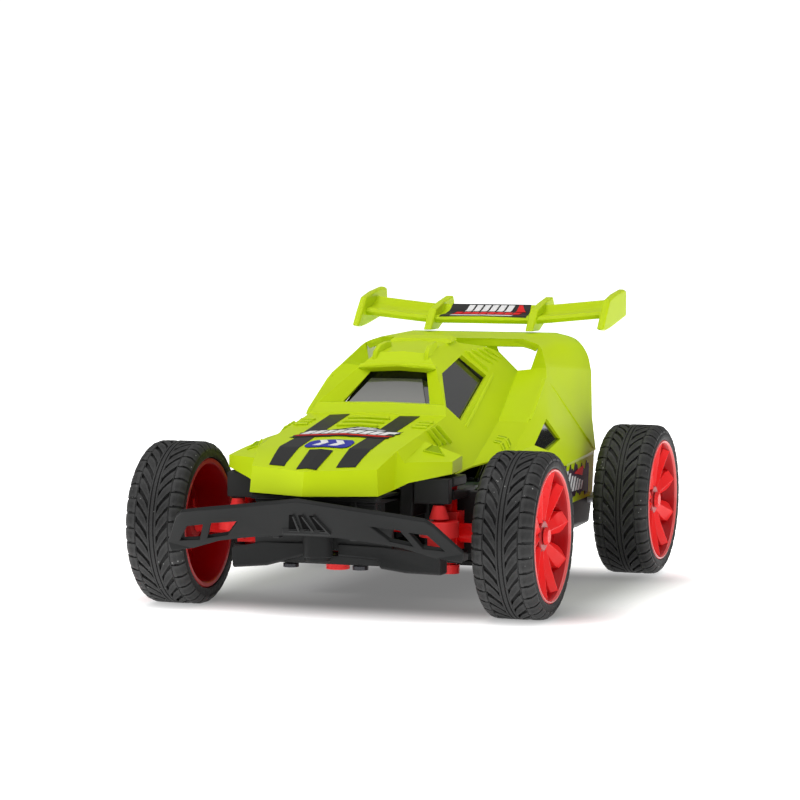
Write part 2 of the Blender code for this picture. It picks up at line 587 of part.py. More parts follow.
def make_drive(white, steel, dark_steel):
    axle_ends = REAR_TRACK / 2 + HUB_FACE
    rod("rear_axle", (-axle_ends, WHEELBASE, AXLE_Z), (axle_ends, WHEELBASE, AXLE_Z), STUB_RADIUS, steel, sides=24)
    axle_gear = prism("axle_gear", gear_outline(AXLE_TEETH, MODULE, (WHEELBASE, AXLE_Z), math.pi),
                      -14.4, -11, "X", white)
    cut(axle_gear, rod("axle_bore", (-20, WHEELBASE, AXLE_Z), (0, WHEELBASE, AXLE_Z), STUB_RADIUS + 0.05, sides=24))
    idler = prism("idler_gear", gear_outline(IDLER_LARGE, MODULE, (IDLER_Y, AXLE_Z), math.pi),
                  -10.2, -7.2, "X", white)
    unite(idler, prism("idler_small", gear_outline(IDLER_SMALL, MODULE, (IDLER_Y, AXLE_Z), math.pi / IDLER_SMALL),
                       -14.6, -9.8, "X"),
          rod("idler_shaft", (-17.4, IDLER_Y, AXLE_Z), (17.4, IDLER_Y, AXLE_Z), 1.2, sides=16))
    set_origin(idler, (-10, IDLER_Y, AXLE_Z))
    pinion = prism("motor_pinion", gear_outline(PINION_TEETH, MODULE, (MOTOR_Y, AXLE_Z), math.pi / PINION_TEETH),
                   -10.1, -7.3, "X", white)
    unite(pinion, rod("drive_shaft", (-8, MOTOR_Y, AXLE_Z), (-2, MOTOR_Y, AXLE_Z), 1.0, sides=12))
    set_origin(pinion, (-8, MOTOR_Y, AXLE_Z))
    motor = rod("drive_motor", (-5.4, MOTOR_Y, AXLE_Z), (15.4, MOTOR_Y, AXLE_Z), 10, dark_steel, sides=28)
    for side in (-1, 1):
        low, high = sorted((AXLE_Z + 7.6 * side, AXLE_Z + 15 * side))
        cut(motor, box("motor_flat", (-20, MOTOR_Y - 15, low), (20, MOTOR_Y + 15, high)))
    cut(motor, rod("drive_bearing", (-8, MOTOR_Y, AXLE_Z), (-1, MOTOR_Y, AXLE_Z), 1.4, sides=12))
    for side, name in ((1, "axle_bush_left"), (-1, "axle_bush_right")):
        bush = rod(name, (15.4 * side, WHEELBASE, AXLE_Z), (18.6 * side, WHEELBASE, AXLE_Z), 4.0, dark_steel)
        cut(bush, rod("bush_bore", (12 * side, WHEELBASE, AXLE_Z), (22 * side, WHEELBASE, AXLE_Z),
                      STUB_RADIUS + 0.08, sides=24))


def make_electrics(black, steel, board_green, copper, cell_look):
    for number in range(4):
        across = (number - 1.5) * 14.8
        front = 45.5 if number % 2 else 44.5
        cell = rod("aa_cell_" + str(number + 1), (across, front, 23.6), (across, front + CELL_LENGTH, 23.6),
                   CELL_RADIUS, cell_look, sides=18)
        nub = front - 1 if number % 2 else front + CELL_LENGTH - 1
        unite(cell, rod("nub", (across, nub, 23.6), (across, nub + 2, 23.6), 2.6, sides=12))
    box("battery_contact_front", (-30.6, 42.5, 17), (30.6, 43.1, 31), steel)
    box("battery_contact_rear", (-30.6, 97, 17), (30.6, 97.5, 31), steel)
    door = box("battery_door", (-BATTERY_HALF, BATTERY_FRONT, 12.1), (BATTERY_HALF, 107, 13.7), black)
    cut(door, rod("door_hole", (0, 103, 5), (0, 103, 20), 1.35, sides=10))
    screw = rod("battery_door_screw", (0, 103, 10.6), (0, 103, 11.8), 2.6, steel, sides=14)
    unite(screw, rod("door_shank", (0, 103, 11), (0, 103, 15.6), 1.0, sides=10))
    box("circuit_board", (-22, 46, 35.6), (22, 84, 37.0), board_green)
    wire = bpy.data.curves.new("antenna_wire", "CURVE")
    wire.dimensions = "3D"
    wire.bevel_depth = 0.6 * MM
    wire.bevel_resolution = 2
    wire.use_fill_caps = True
    path = ((19, 80, 38.2), (20, 86, 44), (16, 92, 52), (0, 94, 56), (-14, 88, 56), (-18, 74, 52))
    line = wire.splines.new("POLY")
    line.points.add(len(path) - 1)
    for point, place in zip(line.points, path):
        point.co = (*(Vector(place) * MM), 1.0)
    wire.materials.append(copper)
    PARTS.objects.link(bpy.data.objects.new("antenna_wire", wire))
    case = box("power_switch_case", (-6, 31, 21.4), (6, 38, 25), black)
    cut(case, box("slider_room", (-3.6, 32.8, 20), (3.6, 36.2, 23.4)))
    box("power_switch_slider", (-3.2, 33.2, 12.6), (-0.8, 35.8, 22.8), steel)


def make_fixings(black, red, steel):
    box("gearbox_cover", (-18, 103, 42.4), (18, 165.4, 44.4), black, bevel=0.6)
    places = {"front_left": (12, -23.5, 18.2), "front_right": (-12, -23.5, 18.2),
              "rear_left": (12, 110.5, FLOOR_LOW), "rear_right": (-12, 110.5, FLOOR_LOW)}
    for name, (across, along, under) in places.items():
        screw = rod("body_screw_" + name, (across, along, under - 1.6), (across, along, under - 0.3), 2.6, steel,
                    sides=14)
        unite(screw, rod("shank", (across, along, under - 1), (across, along, under + 1.2), 1.0, sides=10))
    knob = rod("trim_knob", (0, -11.6, 15.2), (0, -11.6, 17.8), 4.0, red, sides=18)
    unite(knob, rod("knob_shaft", (0, -11.6, 17), (0, -11.6, 23), 1.5, sides=16))
    set_origin(knob, (0, -11.6, 16.5))


def centre_car():
    """Moves the pieces, and the hidden cutters with them, from the front axle's frame to the car's middle."""
    for obj in list(PARTS.objects) + list(CUTTERS.objects):
        obj.location.y -= CAR_MIDDLE_Y * MM


def make_buggy():
    lime = material("lime_plastic", LIME, 0.35)
    red = material("red_plastic", RED, 0.32)
    black = material("black_plastic", BLACK, 0.5)
    rubber = material("tyre_rubber", TYRE_GREY, 0.8)
    smoke = material("smoked_panes", SMOKE, 0.12)
    steel = material("plated_steel", STEEL, 0.3, 1.0)
    white = material("gear_plastic", WHITE_PLASTIC, 0.5)
    make_body(lime, smoke)
    make_wing(lime)
    make_bumper(black)
    make_chassis(black)
    make_deck(black)
    make_wheels(red, rubber)
    make_steering(red, white, steel)
    make_drive(white, steel, material("motor_can", (0.4, 0.4, 0.42), 0.35, 1.0))
    make_electrics(black, steel, material("board", (0.02, 0.2, 0.07), 0.4),
                   material("wire_sleeve", (0.02, 0.02, 0.02), 0.5), material("cell_wrap", (0.1, 0.16, 0.4), 0.35))
    make_fixings(black, red, steel)
    centre_car()


make_buggy()
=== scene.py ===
"""The looks of a toy remote control buggy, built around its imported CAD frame.

Sizes are millimetres unless a comment says otherwise; MM turns them to metres. +X is the car's left,
-Y is forward and +Z is up, as in the frame, but y is measured from the front axle.
"""

import json
import math

import bmesh
import bpy
from mathutils import Matrix, Vector


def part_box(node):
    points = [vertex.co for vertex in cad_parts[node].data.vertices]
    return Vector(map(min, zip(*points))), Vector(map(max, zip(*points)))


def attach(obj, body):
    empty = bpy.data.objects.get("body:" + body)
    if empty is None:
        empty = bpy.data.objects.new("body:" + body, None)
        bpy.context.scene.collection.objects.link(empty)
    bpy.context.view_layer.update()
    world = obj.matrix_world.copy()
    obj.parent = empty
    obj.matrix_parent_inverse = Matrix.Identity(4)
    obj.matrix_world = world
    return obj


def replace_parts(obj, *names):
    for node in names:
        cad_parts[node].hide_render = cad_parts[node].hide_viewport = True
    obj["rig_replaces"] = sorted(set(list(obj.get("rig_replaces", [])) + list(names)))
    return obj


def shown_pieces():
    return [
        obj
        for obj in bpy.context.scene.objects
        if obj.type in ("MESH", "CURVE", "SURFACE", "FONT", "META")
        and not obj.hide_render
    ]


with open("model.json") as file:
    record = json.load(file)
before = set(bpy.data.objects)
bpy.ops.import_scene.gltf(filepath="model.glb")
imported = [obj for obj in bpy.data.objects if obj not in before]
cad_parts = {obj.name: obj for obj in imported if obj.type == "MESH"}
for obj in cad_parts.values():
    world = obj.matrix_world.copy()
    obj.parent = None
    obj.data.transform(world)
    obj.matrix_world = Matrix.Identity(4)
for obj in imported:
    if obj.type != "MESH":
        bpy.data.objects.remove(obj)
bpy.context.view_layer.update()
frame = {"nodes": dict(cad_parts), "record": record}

MM = 0.001
NODES = frame["nodes"]
BODY_OF = {name: body for body, names in frame["record"]["behaviour"]["bodies"].items() for name in names}
SLOT_OF = {row["node"]: row["material_slot"] for row in frame["record"]["subparts"]}

BODY = "chassis"
SIDES = ((-1, "right"), (1, "left"))
DOWN = (0, 0, -1)
BACK = (0, 1, 0)

# Running gear
FRONT_AXLE = Vector((0.0, -61.15 * MM, 0.0))  # in metres, in the frame
WHEELBASE = 145.2
AXLE_Z = 27.5
FRONT_REACH = 60.0  # from the car's middle to a front wheel's middle
REAR_REACH = 61.15
TREAD_PITCHES = 34
SPOKE_PAIRS = 5
ARM_SPREAD = math.radians(16)

# Draping
OFF_SEAM = 0.013  # keeps a test ray off the seam between the car's two halves
RAY_START = 140  # how far outside a sticker's place its test rays start


# ---------------------------------------------------------------- materials

def feed(tree, made, **inputs):
    """Sets a node's inputs by name, with underscores for spaces. A socket is linked, a value is set."""
    for key, value in inputs.items():
        socket = made.inputs[key.replace("_", " ")]
        if isinstance(value, bpy.types.NodeSocket):
            tree.links.new(value, socket)
        else:
            socket.default_value = value
    return made


def node(tree, kind, settings=None, **inputs):
    """Adds a node, with its settings and then its inputs."""
    made = tree.nodes.new(kind)
    for key, value in (settings or {}).items():
        setattr(made, key, value)
    return feed(tree, made, **inputs)


def ramp(tree, factor, stops):
    """Colours between stops of (place, colour), read off by `factor`."""
    made = tree.nodes.new("ShaderNodeValToRGB")
    elements = made.color_ramp.elements
    for element, (place, color) in zip(elements, (stops[0], stops[-1])):
        element.position = place
        element.color = (*color, 1.0)
    for place, color in stops[1:-1]:
        elements.new(place).color = (*color, 1.0)
    tree.links.new(factor, made.inputs["Fac"])
    return made.outputs["Color"]


def ranged(tree, value, from_low, from_high, to_low=0.0, to_high=1.0, kind="LINEAR"):
    """A value carried over from one range to another."""
    made = node(tree, "ShaderNodeMapRange", {"interpolation_type": kind}, Value=value, From_Min=from_low,
                From_Max=from_high, To_Min=to_low, To_Max=to_high)
    return made.outputs["Result"]


def mixed(tree, factor, a, b, blend="MIX"):
    made = node(tree, "ShaderNodeMix", {"data_type": "RGBA", "blend_type": blend}, Factor=factor, A=a, B=b)
    return made.outputs["Result"]


def place_of(tree, output="Object"):
    return node(tree, "ShaderNodeTexCoord").outputs[output]


def axis_of(tree, place, axis):
    return node(tree, "ShaderNodeSeparateXYZ", Vector=place).outputs[axis]


def noise(tree, place, scale, detail, **inputs):
    made = node(tree, "ShaderNodeTexNoise", Vector=place, Scale=scale, Detail=detail, **inputs)
    return made.outputs["Fac"]


def shader_of(material):
    return material.node_tree.nodes["Principled BSDF"]


def moulded(name, color, roughness, grain=900.0, depth=0.02, tone=0.06, edge_highlight=0.15, specular=0.5, **finish):
    """Moulded plastic or metal: a fine grain in the bump, uneven gloss, and paler edges, a painted
    highlight.
    `grain` is in cycles a metre, and `finish` holds further inputs of the shader."""
    made = bpy.data.materials.new(name)
    made.use_nodes = True
    tree = made.node_tree
    place = place_of(tree)
    cloud = noise(tree, place, 38.0, 5.0)
    fine = noise(tree, place, grain, 3.0, Roughness=0.6)
    dark = tuple(c * (1 - tone) for c in color)
    light = tuple(min(1.0, c * (1 + tone)) for c in color)
    whole = ramp(tree, cloud, ((0.32, dark), (0.5, color), (0.7, light)))
    pointed = node(tree, "ShaderNodeNewGeometry").outputs["Pointiness"]
    # Pointed places, the edges, are painted paler: a painted highlight.
    edge_highlight_mask = ramp(tree, pointed, ((0.5, (0, 0, 0)), (0.58, (edge_highlight, edge_highlight, edge_highlight))))
    highlight_color = (*[min(1.0, c * 1.25 + 0.12) for c in color], 1.0)
    gloss = ranged(tree, cloud, 0.0, 1.0, max(0.03, roughness - 0.07), roughness + 0.09)
    bump = node(tree, "ShaderNodeBump", Strength=0.35, Distance=depth * MM, Height=fine)
    feed(tree, shader_of(made), Base_Color=mixed(tree, edge_highlight_mask, whole, highlight_color), Roughness=gloss,
         Normal=bump.outputs["Normal"], Specular_IOR_Level=specular, Coat_Roughness=0.12,
         Subsurface_Radius=(0.6, 0.8, 0.2), Subsurface_Scale=0.0012, **finish)
    made.diffuse_color = (*color, 1.0)
    return made


def rubber_material():
    """Dull rubber with a leathery grain, paler edges and high spots as a painted highlight, and a few dust
    specks.
    """
    made = moulded("tyre_rubber_look", (0.0065, 0.0065, 0.0065), 0.52, grain=850.0, depth=0.6, tone=0.6,
                   edge_highlight=0.28, specular=0.22)
    tree = made.node_tree
    place = place_of(tree)
    dust = node(tree, "ShaderNodeTexVoronoi", Vector=place, Scale=520.0).outputs["Distance"]
    speck = ramp(tree, dust, ((0.10, (1, 1, 1)), (0.16, (0, 0, 0))))
    where = ramp(tree, noise(tree, place, 90.0, 2.0), ((0.56, (0, 0, 0)), (0.66, (0.8, 0.8, 0.8))))
    clean = shader_of(made).inputs["Base Color"].links[0].from_socket
    dusty = mixed(tree, mixed(tree, 1.0, speck, where, "MULTIPLY"), clean, (0.32, 0.32, 0.31, 1.0))
    feed(tree, shader_of(made), Base_Color=dusty)
    return made


def reflection_painted_pane_material(name, low, high, bottom, top):
    """Dark glossy plastic whose tone goes from `low` to `high` between two heights, a reflection painted
    into the colour.
    """
    made = moulded(name, low, 0.10, grain=300.0, depth=0.004, tone=0.1, edge_highlight=0.0, Coat_Weight=0.6)
    tree = made.node_tree
    height = ranged(tree, axis_of(tree, place_of(tree), "Z"), bottom * MM, top * MM)
    middle = tuple((a + b) / 2 for a, b in zip(low, high))
    feed(tree, shader_of(made), Base_Color=ramp(tree, height, ((0.0, low), (0.55, middle), (1.0, high))))
    return made


def metal_material(name, color, roughness):
    """Drawn or turned metal: streaks across the car and a slightly uneven polish."""
    made = moulded(name, color, roughness, grain=500.0, depth=0.01, tone=0.08, edge_highlight=0.0, Metallic=1.0)
    tree = made.node_tree
    stretch = node(tree, "ShaderNodeMapping", Vector=place_of(tree), Scale=(40.0, 1500.0, 1500.0))
    streaks = noise(tree, stretch.outputs["Vector"], 1.0, 4.0)
    feed(tree, shader_of(made), Roughness=ranged(tree, streaks, 0.0, 1.0, roughness * 0.6, roughness * 1.6))
    return made


def board_material():
    """Green solder mask with a faint grid of paler tracks."""
    made = moulded("board_look", (0.015, 0.14, 0.05), 0.3, edge_highlight=0.0, Coat_Weight=0.3)
    tree = made.node_tree
    tracks = node(tree, "ShaderNodeTexBrick", Vector=place_of(tree), Scale=260.0, Mortar_Size=0.06,
                  Color1=(0.012, 0.12, 0.04, 1.0), Color2=(0.02, 0.17, 0.06, 1.0),
                  Mortar=(0.10, 0.32, 0.12, 1.0))
    feed(tree, shader_of(made), Base_Color=tracks.outputs["Color"])
    return made


def cell_material():
    """A plain battery sleeve: blue with a copper-coloured band at one end."""
    blue = (0.03, 0.08, 0.32)
    made = moulded("cell_wrap_look", blue, 0.25, edge_highlight=0.0, Coat_Weight=0.5)
    tree = made.node_tree
    low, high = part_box("aa_cell_1")
    along = ranged(tree, axis_of(tree, place_of(tree), "Y"), low.y, high.y)
    copper = (0.55, 0.27, 0.12)
    band = ramp(tree, along, ((0.0, blue), (0.74, blue), (0.75, copper), (1.0, (0.6, 0.3, 0.14))))
    feed(tree, shader_of(made), Base_Color=band)
    return made


def decal(name, color, roughness, specular=0.2, **more):
    return moulded("decal_" + name, color, roughness, grain=1500.0, edge_highlight=0.0, specular=specular, **more)


LOOKS = {
    "lime_plastic": moulded("lime_look", (0.54, 0.70, 0.003), 0.36, grain=1100.0, depth=0.012, tone=0.03,
                            edge_highlight=0.10, specular=0.09, Subsurface_Weight=0.06),
    "red_plastic": moulded("red_look", (0.78, 0.0003, 0.0008), 0.27, grain=1000.0, depth=0.010, edge_highlight=0.45,
                           specular=0.09, Subsurface_Weight=0.05),
    "black_plastic": moulded("black_look", (0.0075, 0.008, 0.008), 0.40, grain=1300.0, depth=0.06, tone=0.15,
                             edge_highlight=0.2, specular=0.09),
    "tyre_rubber": rubber_material(),
    "smoked_panes": reflection_painted_pane_material("smoked_look", (0.003, 0.003, 0.004), (0.012, 0.013, 0.012), 60, 82),
    "plated_steel": metal_material("steel_look", (0.62, 0.63, 0.65), 0.28),
    "gear_plastic": moulded("nylon_look", (0.80, 0.78, 0.72), 0.42, edge_highlight=0.1, Subsurface_Weight=0.2),
    "cell_wrap": cell_material(),
    "board": board_material(),
    "wire_sleeve": moulded("sleeve_look", (0.02, 0.02, 0.022), 0.45, grain=1500.0),
    "motor_can": metal_material("can_look", (0.52, 0.53, 0.55), 0.32),
    "bush_brass": metal_material("bush_look", (0.62, 0.43, 0.2), 0.35),
    "slider_plastic": moulded("slider_look", (0.025, 0.025, 0.028), 0.4, depth=0.05),
}
# The windscreen is paler towards its bottom: a painted reflection.
WINDSCREEN_PAINTED_REFLECTION = reflection_painted_pane_material("windscreen_painted_reflection", (0.15, 0.15, 0.135), (0.018, 0.018, 0.016), 66, 77)
# A darker lime for hollows and slots: painted shade.
LIME_PAINTED_SHADE = moulded("lime_painted_shade", (0.30, 0.44, 0.002), 0.5, grain=1100.0, depth=0.012, tone=0.05, edge_highlight=0.0,
                     specular=0.1)
# A darker red for the rim's dish: painted shade behind the arms.
RED_PAINTED_SHADE = moulded("red_painted_shade", (0.36, 0.0003, 0.002), 0.3, grain=1000.0, depth=0.01, tone=0.08, edge_highlight=0.3,
                    specular=0.16)
# A paler, pinker red for the rim's lip: a painted highlight.
LIP_HIGHLIGHT_RED = moulded("lip_painted_highlight", (0.62, 0.035, 0.032), 0.22, grain=1000.0, depth=0.01, tone=0.05, edge_highlight=0.6,
                  Coat_Weight=0.2)
# A flat black for the bumper's slots: painted shade.
SLOT_PAINTED_SHADE = moulded("slot_painted_shade", (0.002, 0.002, 0.002), 0.7, grain=1300.0, edge_highlight=0.0, specular=0.05)
DARK_STEEL = metal_material("dark_steel", (0.05, 0.05, 0.055), 0.35)
DECAL_BLACK = decal("black", (0.0085, 0.0085, 0.0075), 0.42, specular=0.3, tone=0.2)
DECAL_BLUE = decal("blue", (0.010, 0.014, 0.36), 0.35, depth=0.01)
DECAL_WHITE = decal("white", (0.86, 0.86, 0.86), 0.4, depth=0.01)
DECAL_RED = decal("red", (0.80, 0.008, 0.008), 0.4, depth=0.01)
DECAL_PLUM = decal("plum", (0.026, 0.013, 0.036), 0.45, specular=0.3, depth=0.01)


# ---------------------------------------------------------------- mesh helpers

def link(name, mesh, slot, look=None, body=BODY, in_frame=False):
    """Makes a riding piece of a mesh. A mesh measured from the front axle is moved to the frame."""
    if not in_frame:
        mesh.transform(Matrix.Translation(FRONT_AXLE))
    made = bpy.data.objects.new(name, mesh)
    bpy.context.scene.collection.objects.link(made)
    mesh.materials.clear()
    mesh.materials.append(look or LOOKS[slot])
    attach(made, body)
    return made


def mesh_of(name, bm, smooth_angle):
    mesh = bpy.data.meshes.new(name)
    bm.to_mesh(mesh)
    bm.free()
    mesh.shade_smooth()
    mesh.set_sharp_from_angle(angle=math.radians(smooth_angle))
    return mesh


def from_bm(name, bm, slot, look=None, body=BODY, smooth_angle=32.0, in_frame=False):
    bmesh.ops.recalc_face_normals(bm, faces=bm.faces)
    return link(name, mesh_of(name, bm, smooth_angle), slot, look, body, in_frame)


def soften(obj, width, segments=3, angle=25.0):
    """Rounds the edges as a mould does, and keeps flat faces flat-shaded."""
    bevel = obj.modifiers.new("soft edges", "BEVEL")
    bevel.width = width * MM
    bevel.segments = segments
    bevel.limit_method = "ANGLE"
    bevel.angle_limit = math.radians(angle)
    bevel.harden_normals = False
    bevel.use_clamp_overlap = True
    normals = obj.modifiers.new("flat faces", "WEIGHTED_NORMAL")
    normals.keep_sharp = True
    normals.weight = 80
    return obj


def refined(node_name, look, width):
    """A softer copy of a CAD node, on the same body, with its flat faces whole and its edges rounded."""
    bm = bmesh.new()
    bm.from_mesh(NODES[node_name].data)
    bmesh.ops.remove_doubles(bm, verts=bm.verts, dist=2e-6)
    bmesh.ops.dissolve_limit(bm, angle_limit=math.radians(0.6), verts=bm.verts, edges=bm.edges)
    made = from_bm(node_name + "_fine", bm, SLOT_OF[node_name], look, BODY_OF[node_name], 40.0, True)
    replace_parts(soften(made, width, 2), node_name)


def loft(bm, sections):
    """Joins closed sections of equal point count and caps both ends."""
    rings = [[bm.verts.new(Vector(p) * MM) for p in section] for section in sections]
    count = len(rings[0])
    for a, b in zip(rings, rings[1:]):
        for i in range(count):
            j = (i + 1) % count
            bm.faces.new((a[i], a[j], b[j], b[i]))
    bm.faces.new(list(reversed(rings[0])))
    bm.faces.new(rings[-1])


def solid(name, sections, slot, width, segments=3, look=None, smooth_angle=32.0, angle=25.0):
    """A loft on the chassis with its edges rounded by `width`."""
    bm = bmesh.new()
    loft(bm, sections)
    return soften(from_bm(name, bm, slot, look, smooth_angle=smooth_angle), width, segments, angle)


def block(name, low, high, width):
    """A black box between two corners, with its edges rounded by `width`."""
    around = ((low[0], low[1]), (high[0], low[1]), (high[0], high[1]), (low[0], high[1]))
    return solid(name, [[(x, y, z) for x, y in around] for z in (low[2], high[2])], "black_plastic", width)


def around_axle(centre, side, out, radius, angle):
    return centre + Vector((out * side, radius * math.sin(angle), radius * math.cos(angle)))


def lathe(bm, profile, steps, centre, side):
    """Turns a closed loop of (radius, outward) points round the X axis through the centre."""
    rings = []
    for step in range(steps):
        angle = math.tau * step / steps
        rings.append([bm.verts.new(around_axle(centre, side, out, radius, angle) * MM)
                      for radius, out in profile])
    count = len(profile)
    for here, there in zip(rings, rings[1:] + rings[:1]):
        for i in range(count):
            j = (i + 1) % count
            bm.faces.new((here[i], here[j], there[j], there[i]))


def skin(name, points, panels, slot, thickness, width):
    """An open skin of named corners, mirrored over the car's middle and made solid inwards, with soft
    edges. The first panel faces forward."""
    bm = bmesh.new()
    made = {key: bm.verts.new(Vector(place) * MM) for key, place in points.items()}
    faces = [bm.faces.new([made[key] for key in panel.split()]) for panel in panels]
    bmesh.ops.mirror(bm, geom=bm.verts[:] + bm.edges[:] + bm.faces[:], axis="X", merge_dist=1e-6)
    bmesh.ops.remove_doubles(bm, verts=bm.verts, dist=1e-6)
    bmesh.ops.recalc_face_normals(bm, faces=bm.faces)
    bm.normal_update()
    if faces[0].normal.y > 0:
        bmesh.ops.reverse_faces(bm, faces=bm.faces)
    obj = link(name, mesh_of(name, bm, 24.0), slot)
    shell = obj.modifiers.new("skin", "SOLIDIFY")
    shell.thickness = thickness * MM
    shell.offset = -1.0
    shell.use_even_offset = False
    return soften(obj, width, 3, 20.0)


def through(points, steps):
    """Points along a smooth curve that passes through every given point."""
    given = [Vector(p) for p in points]
    padded = [given[0] * 2 - given[1]] + given + [given[-1] * 2 - given[-2]]
    found = []
    for a, b, c, d in zip(padded, padded[1:], padded[2:], padded[3:]):
        for step in range(steps):
            t = step / steps
            found.append(0.5 * ((2 * b) + (c - a) * t + (2 * a - 5 * b + 4 * c - d) * t * t
                                + (3 * b - a - 3 * c + d) * t ** 3))
    found.append(given[-1])
    return found


def pane(name, corners, replaces=None, look=None, depth=1.7, grow=1.14, outward=(0, 0, 1)):
    """A pane behind an opening: its corners laid in one plane, spread past the opening and set back."""
    points = [Vector(c) for c in corners]
    middle = sum(points, Vector()) / len(points)
    normal = Vector()
    for p, q in zip(points, points[1:] + points[:1]):
        normal += (p - middle).cross(q - middle)
    normal.normalize()
    if normal.dot(Vector(outward)) < 0:
        normal.negate()
    back = []
    for p in points:
        flat = p - middle
        flat -= normal * flat.dot(normal)
        back.append(middle + flat * grow - normal * depth)
    front = [p + normal * 0.9 for p in back]
    made = solid(name, [back, front], "smoked_panes", 0.2, 2, look)
    if replaces:
        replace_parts(made, replaces)


# ---------------------------------------------------------------- body

# The left half of the body skin: its corners, and its panels as lists of corners
POINTS = {
    "nose_low": (0, -46, 41.8), "nose_low_out": (21.9, -35.4, 41.7), "nose_low_back": (23.4, -23, 43),
    "nose_top": (0, -44, 49.6), "nose_top_out": (21.3, -34.8, 50.2),
    "bend": (0, -27, 55.9), "bend_out": (24, -22.7, 55.5),
    "hood_mid": (24.2, -4.5, 58.5),
    "hood_back": (0, 27.4, 64.3), "hood_back_out": (24.4, 27.4, 63.6),
    "cowl": (0, 31.5, 67.6), "cowl_out": (22.9, 30.9, 67.2),
    "glass_low": (0, 37.4, 67.6), "glass_low_out": (15.6, 36.6, 67.3),
    "glass_top": (0, 50.8, 77.6), "glass_top_out": (10.2, 49.9, 77.1),
    "brow": (0, 48.8, 79.2), "brow_out": (14.3, 47.9, 78.4),
    "roof_front": (0, 54, 84.2), "roof_front_out": (9.2, 53.4, 83.6),
    "roof_back": (0, 79.6, 88.2), "roof_back_out": (10.4, 79.3, 87.6),
    "fin_top": (11.6, 82, 86.3), "fin_mid": (15.2, 103, 84.3), "fin_back": (17.5, 112, 82.2),
    "fin_low": (25.1, 110.3, 75.6),
    "deck_bar": (13.4, 112, 81.7), "arch_bar_in": (12.5, 110, 87), "arch_bar_out": (16.2, 110, 87),
    "deck_front": (0, 84, 84.6), "deck_mid": (0, 103, 81.6), "deck_back": (0, 112, 80.2),
    "window_front": (15.8, 49.7, 77), "window_top": (14.3, 77, 82.2), "window_back": (21.6, 83, 75),
    "window_low": (26.9, 36.3, 61.9), "window_sill": (22.8, 32.7, 66.5),
    "ear_front": (25.6, -20.5, 51.6), "ear_tip": (38.9, -10.7, 51.6), "ear_back_out": (38.8, 0.2, 52.9),
    "ear_back": (27.6, -4.5, 57.4), "ear_front_low": (27.7, -21.8, 45.2),
    "ear_tip_low": (38.9, -10.7, 47.6), "ear_out_low": (38.8, 0.2, 48.4), "ear_back_low": (33.6, 5.4, 45.6),
    "side_low": (35.3, 22.6, 47.6),
    "ramp_in": (31.3, 65.9, 60.1), "ramp_foot": (41.2, 50.5, 49.9), "ramp_out": (41, 68.7, 59.8),
    "apex": (40.5, 94, 74.2), "ramp_back": (30.3, 108, 75.4),
    "arch_front": (0, 110, 87), "arch_back": (0, 151, 88), "arch_back_mid": (42.4, 150.4, 57),
    "foot_back": (44.5, 148.5, 45), "foot": (45, 145, 45), "foot_front": (44.8, 108, 42.6),
    "kite_top": (43.4, 84.5, 60.2), "kite_back": (44.0, 101, 52), "kite_low": (44.2, 84.5, 48.9),
    "kite_front": (43.4, 69.5, 51.8),
    "sill_front": (43.4, 40, 45), "sill_mid": (43.6, 108, 41), "sill_back": (44.4, 146.5, 43.8),
    "skirt_front": (42, 38, 27.5), "skirt_mid": (43, 108, 27), "skirt_back": (44.2, 145.5, 28.4),
}
PANELS = [
    "nose_low nose_low_out nose_top_out nose_top",
    "nose_top nose_top_out bend_out bend",
    "nose_low_out nose_low_back bend_out nose_top_out",
    "bend bend_out hood_mid hood_back_out hood_back",
    "hood_back hood_back_out cowl_out cowl",
    "cowl cowl_out glass_low_out glass_low",
    "glass_low_out cowl_out brow_out glass_top_out",
    "glass_top glass_top_out brow_out brow",
    "brow brow_out roof_front_out roof_front",
    "roof_front roof_front_out roof_back_out roof_back",
    "roof_front_out brow_out fin_top roof_back_out",
    "roof_back roof_back_out fin_top deck_front",
    "deck_front fin_top fin_mid deck_mid",
    "deck_mid fin_mid fin_back deck_bar deck_back",
    "deck_bar fin_back arch_bar_out arch_bar_in",
    "cowl_out window_sill window_front brow_out",
    "brow_out window_front window_top fin_top",
    "fin_top window_top window_back fin_mid",
    "fin_mid window_back fin_low fin_back",
    "window_back window_low ramp_in fin_low",
    "window_low window_sill cowl_out hood_back_out",
    "window_low hood_back_out side_low ramp_in",
    "nose_low_back ear_front_low ear_front bend_out",
    "ear_front ear_front_low ear_tip_low ear_tip",
    "ear_tip ear_tip_low ear_out_low ear_back_out",
    "ear_front ear_tip ear_back_out ear_back",
    "ear_back ear_back_out ear_out_low ear_back_low",
    "bend_out ear_front ear_back hood_mid",
    "hood_mid ear_back ear_back_low",
    "hood_mid ear_back_low side_low hood_back_out",
    "side_low ramp_foot ramp_out ramp_in",
    "ramp_in ramp_out apex fin_low",
    "ramp_foot kite_front kite_top ramp_out",
    "ramp_out kite_top apex",
    "apex kite_top kite_back foot",
    "foot kite_back kite_low foot_front",
    "foot_front kite_low kite_front ramp_foot",
    "ramp_foot foot_front sill_mid sill_front",
    "foot_front foot sill_back sill_mid",
    "sill_front sill_mid skirt_mid skirt_front",
    "sill_mid sill_back skirt_back skirt_mid",
    "apex foot foot_back arch_back_mid",
]
# The rear hoop's front and back edges, from the arch's middle down to its foot
HOOP_FRONT = ((27, 110, 87), (33, 110, 84.8), (36, 105.5, 81.2), (38.6, 100, 77.4))
HOOP_BACK = ((28, 151, 88), (35.5, 151, 85.8), (39.9, 151, 80.6), (41.7, 150.9, 74))
HOOP_STEPS = 5


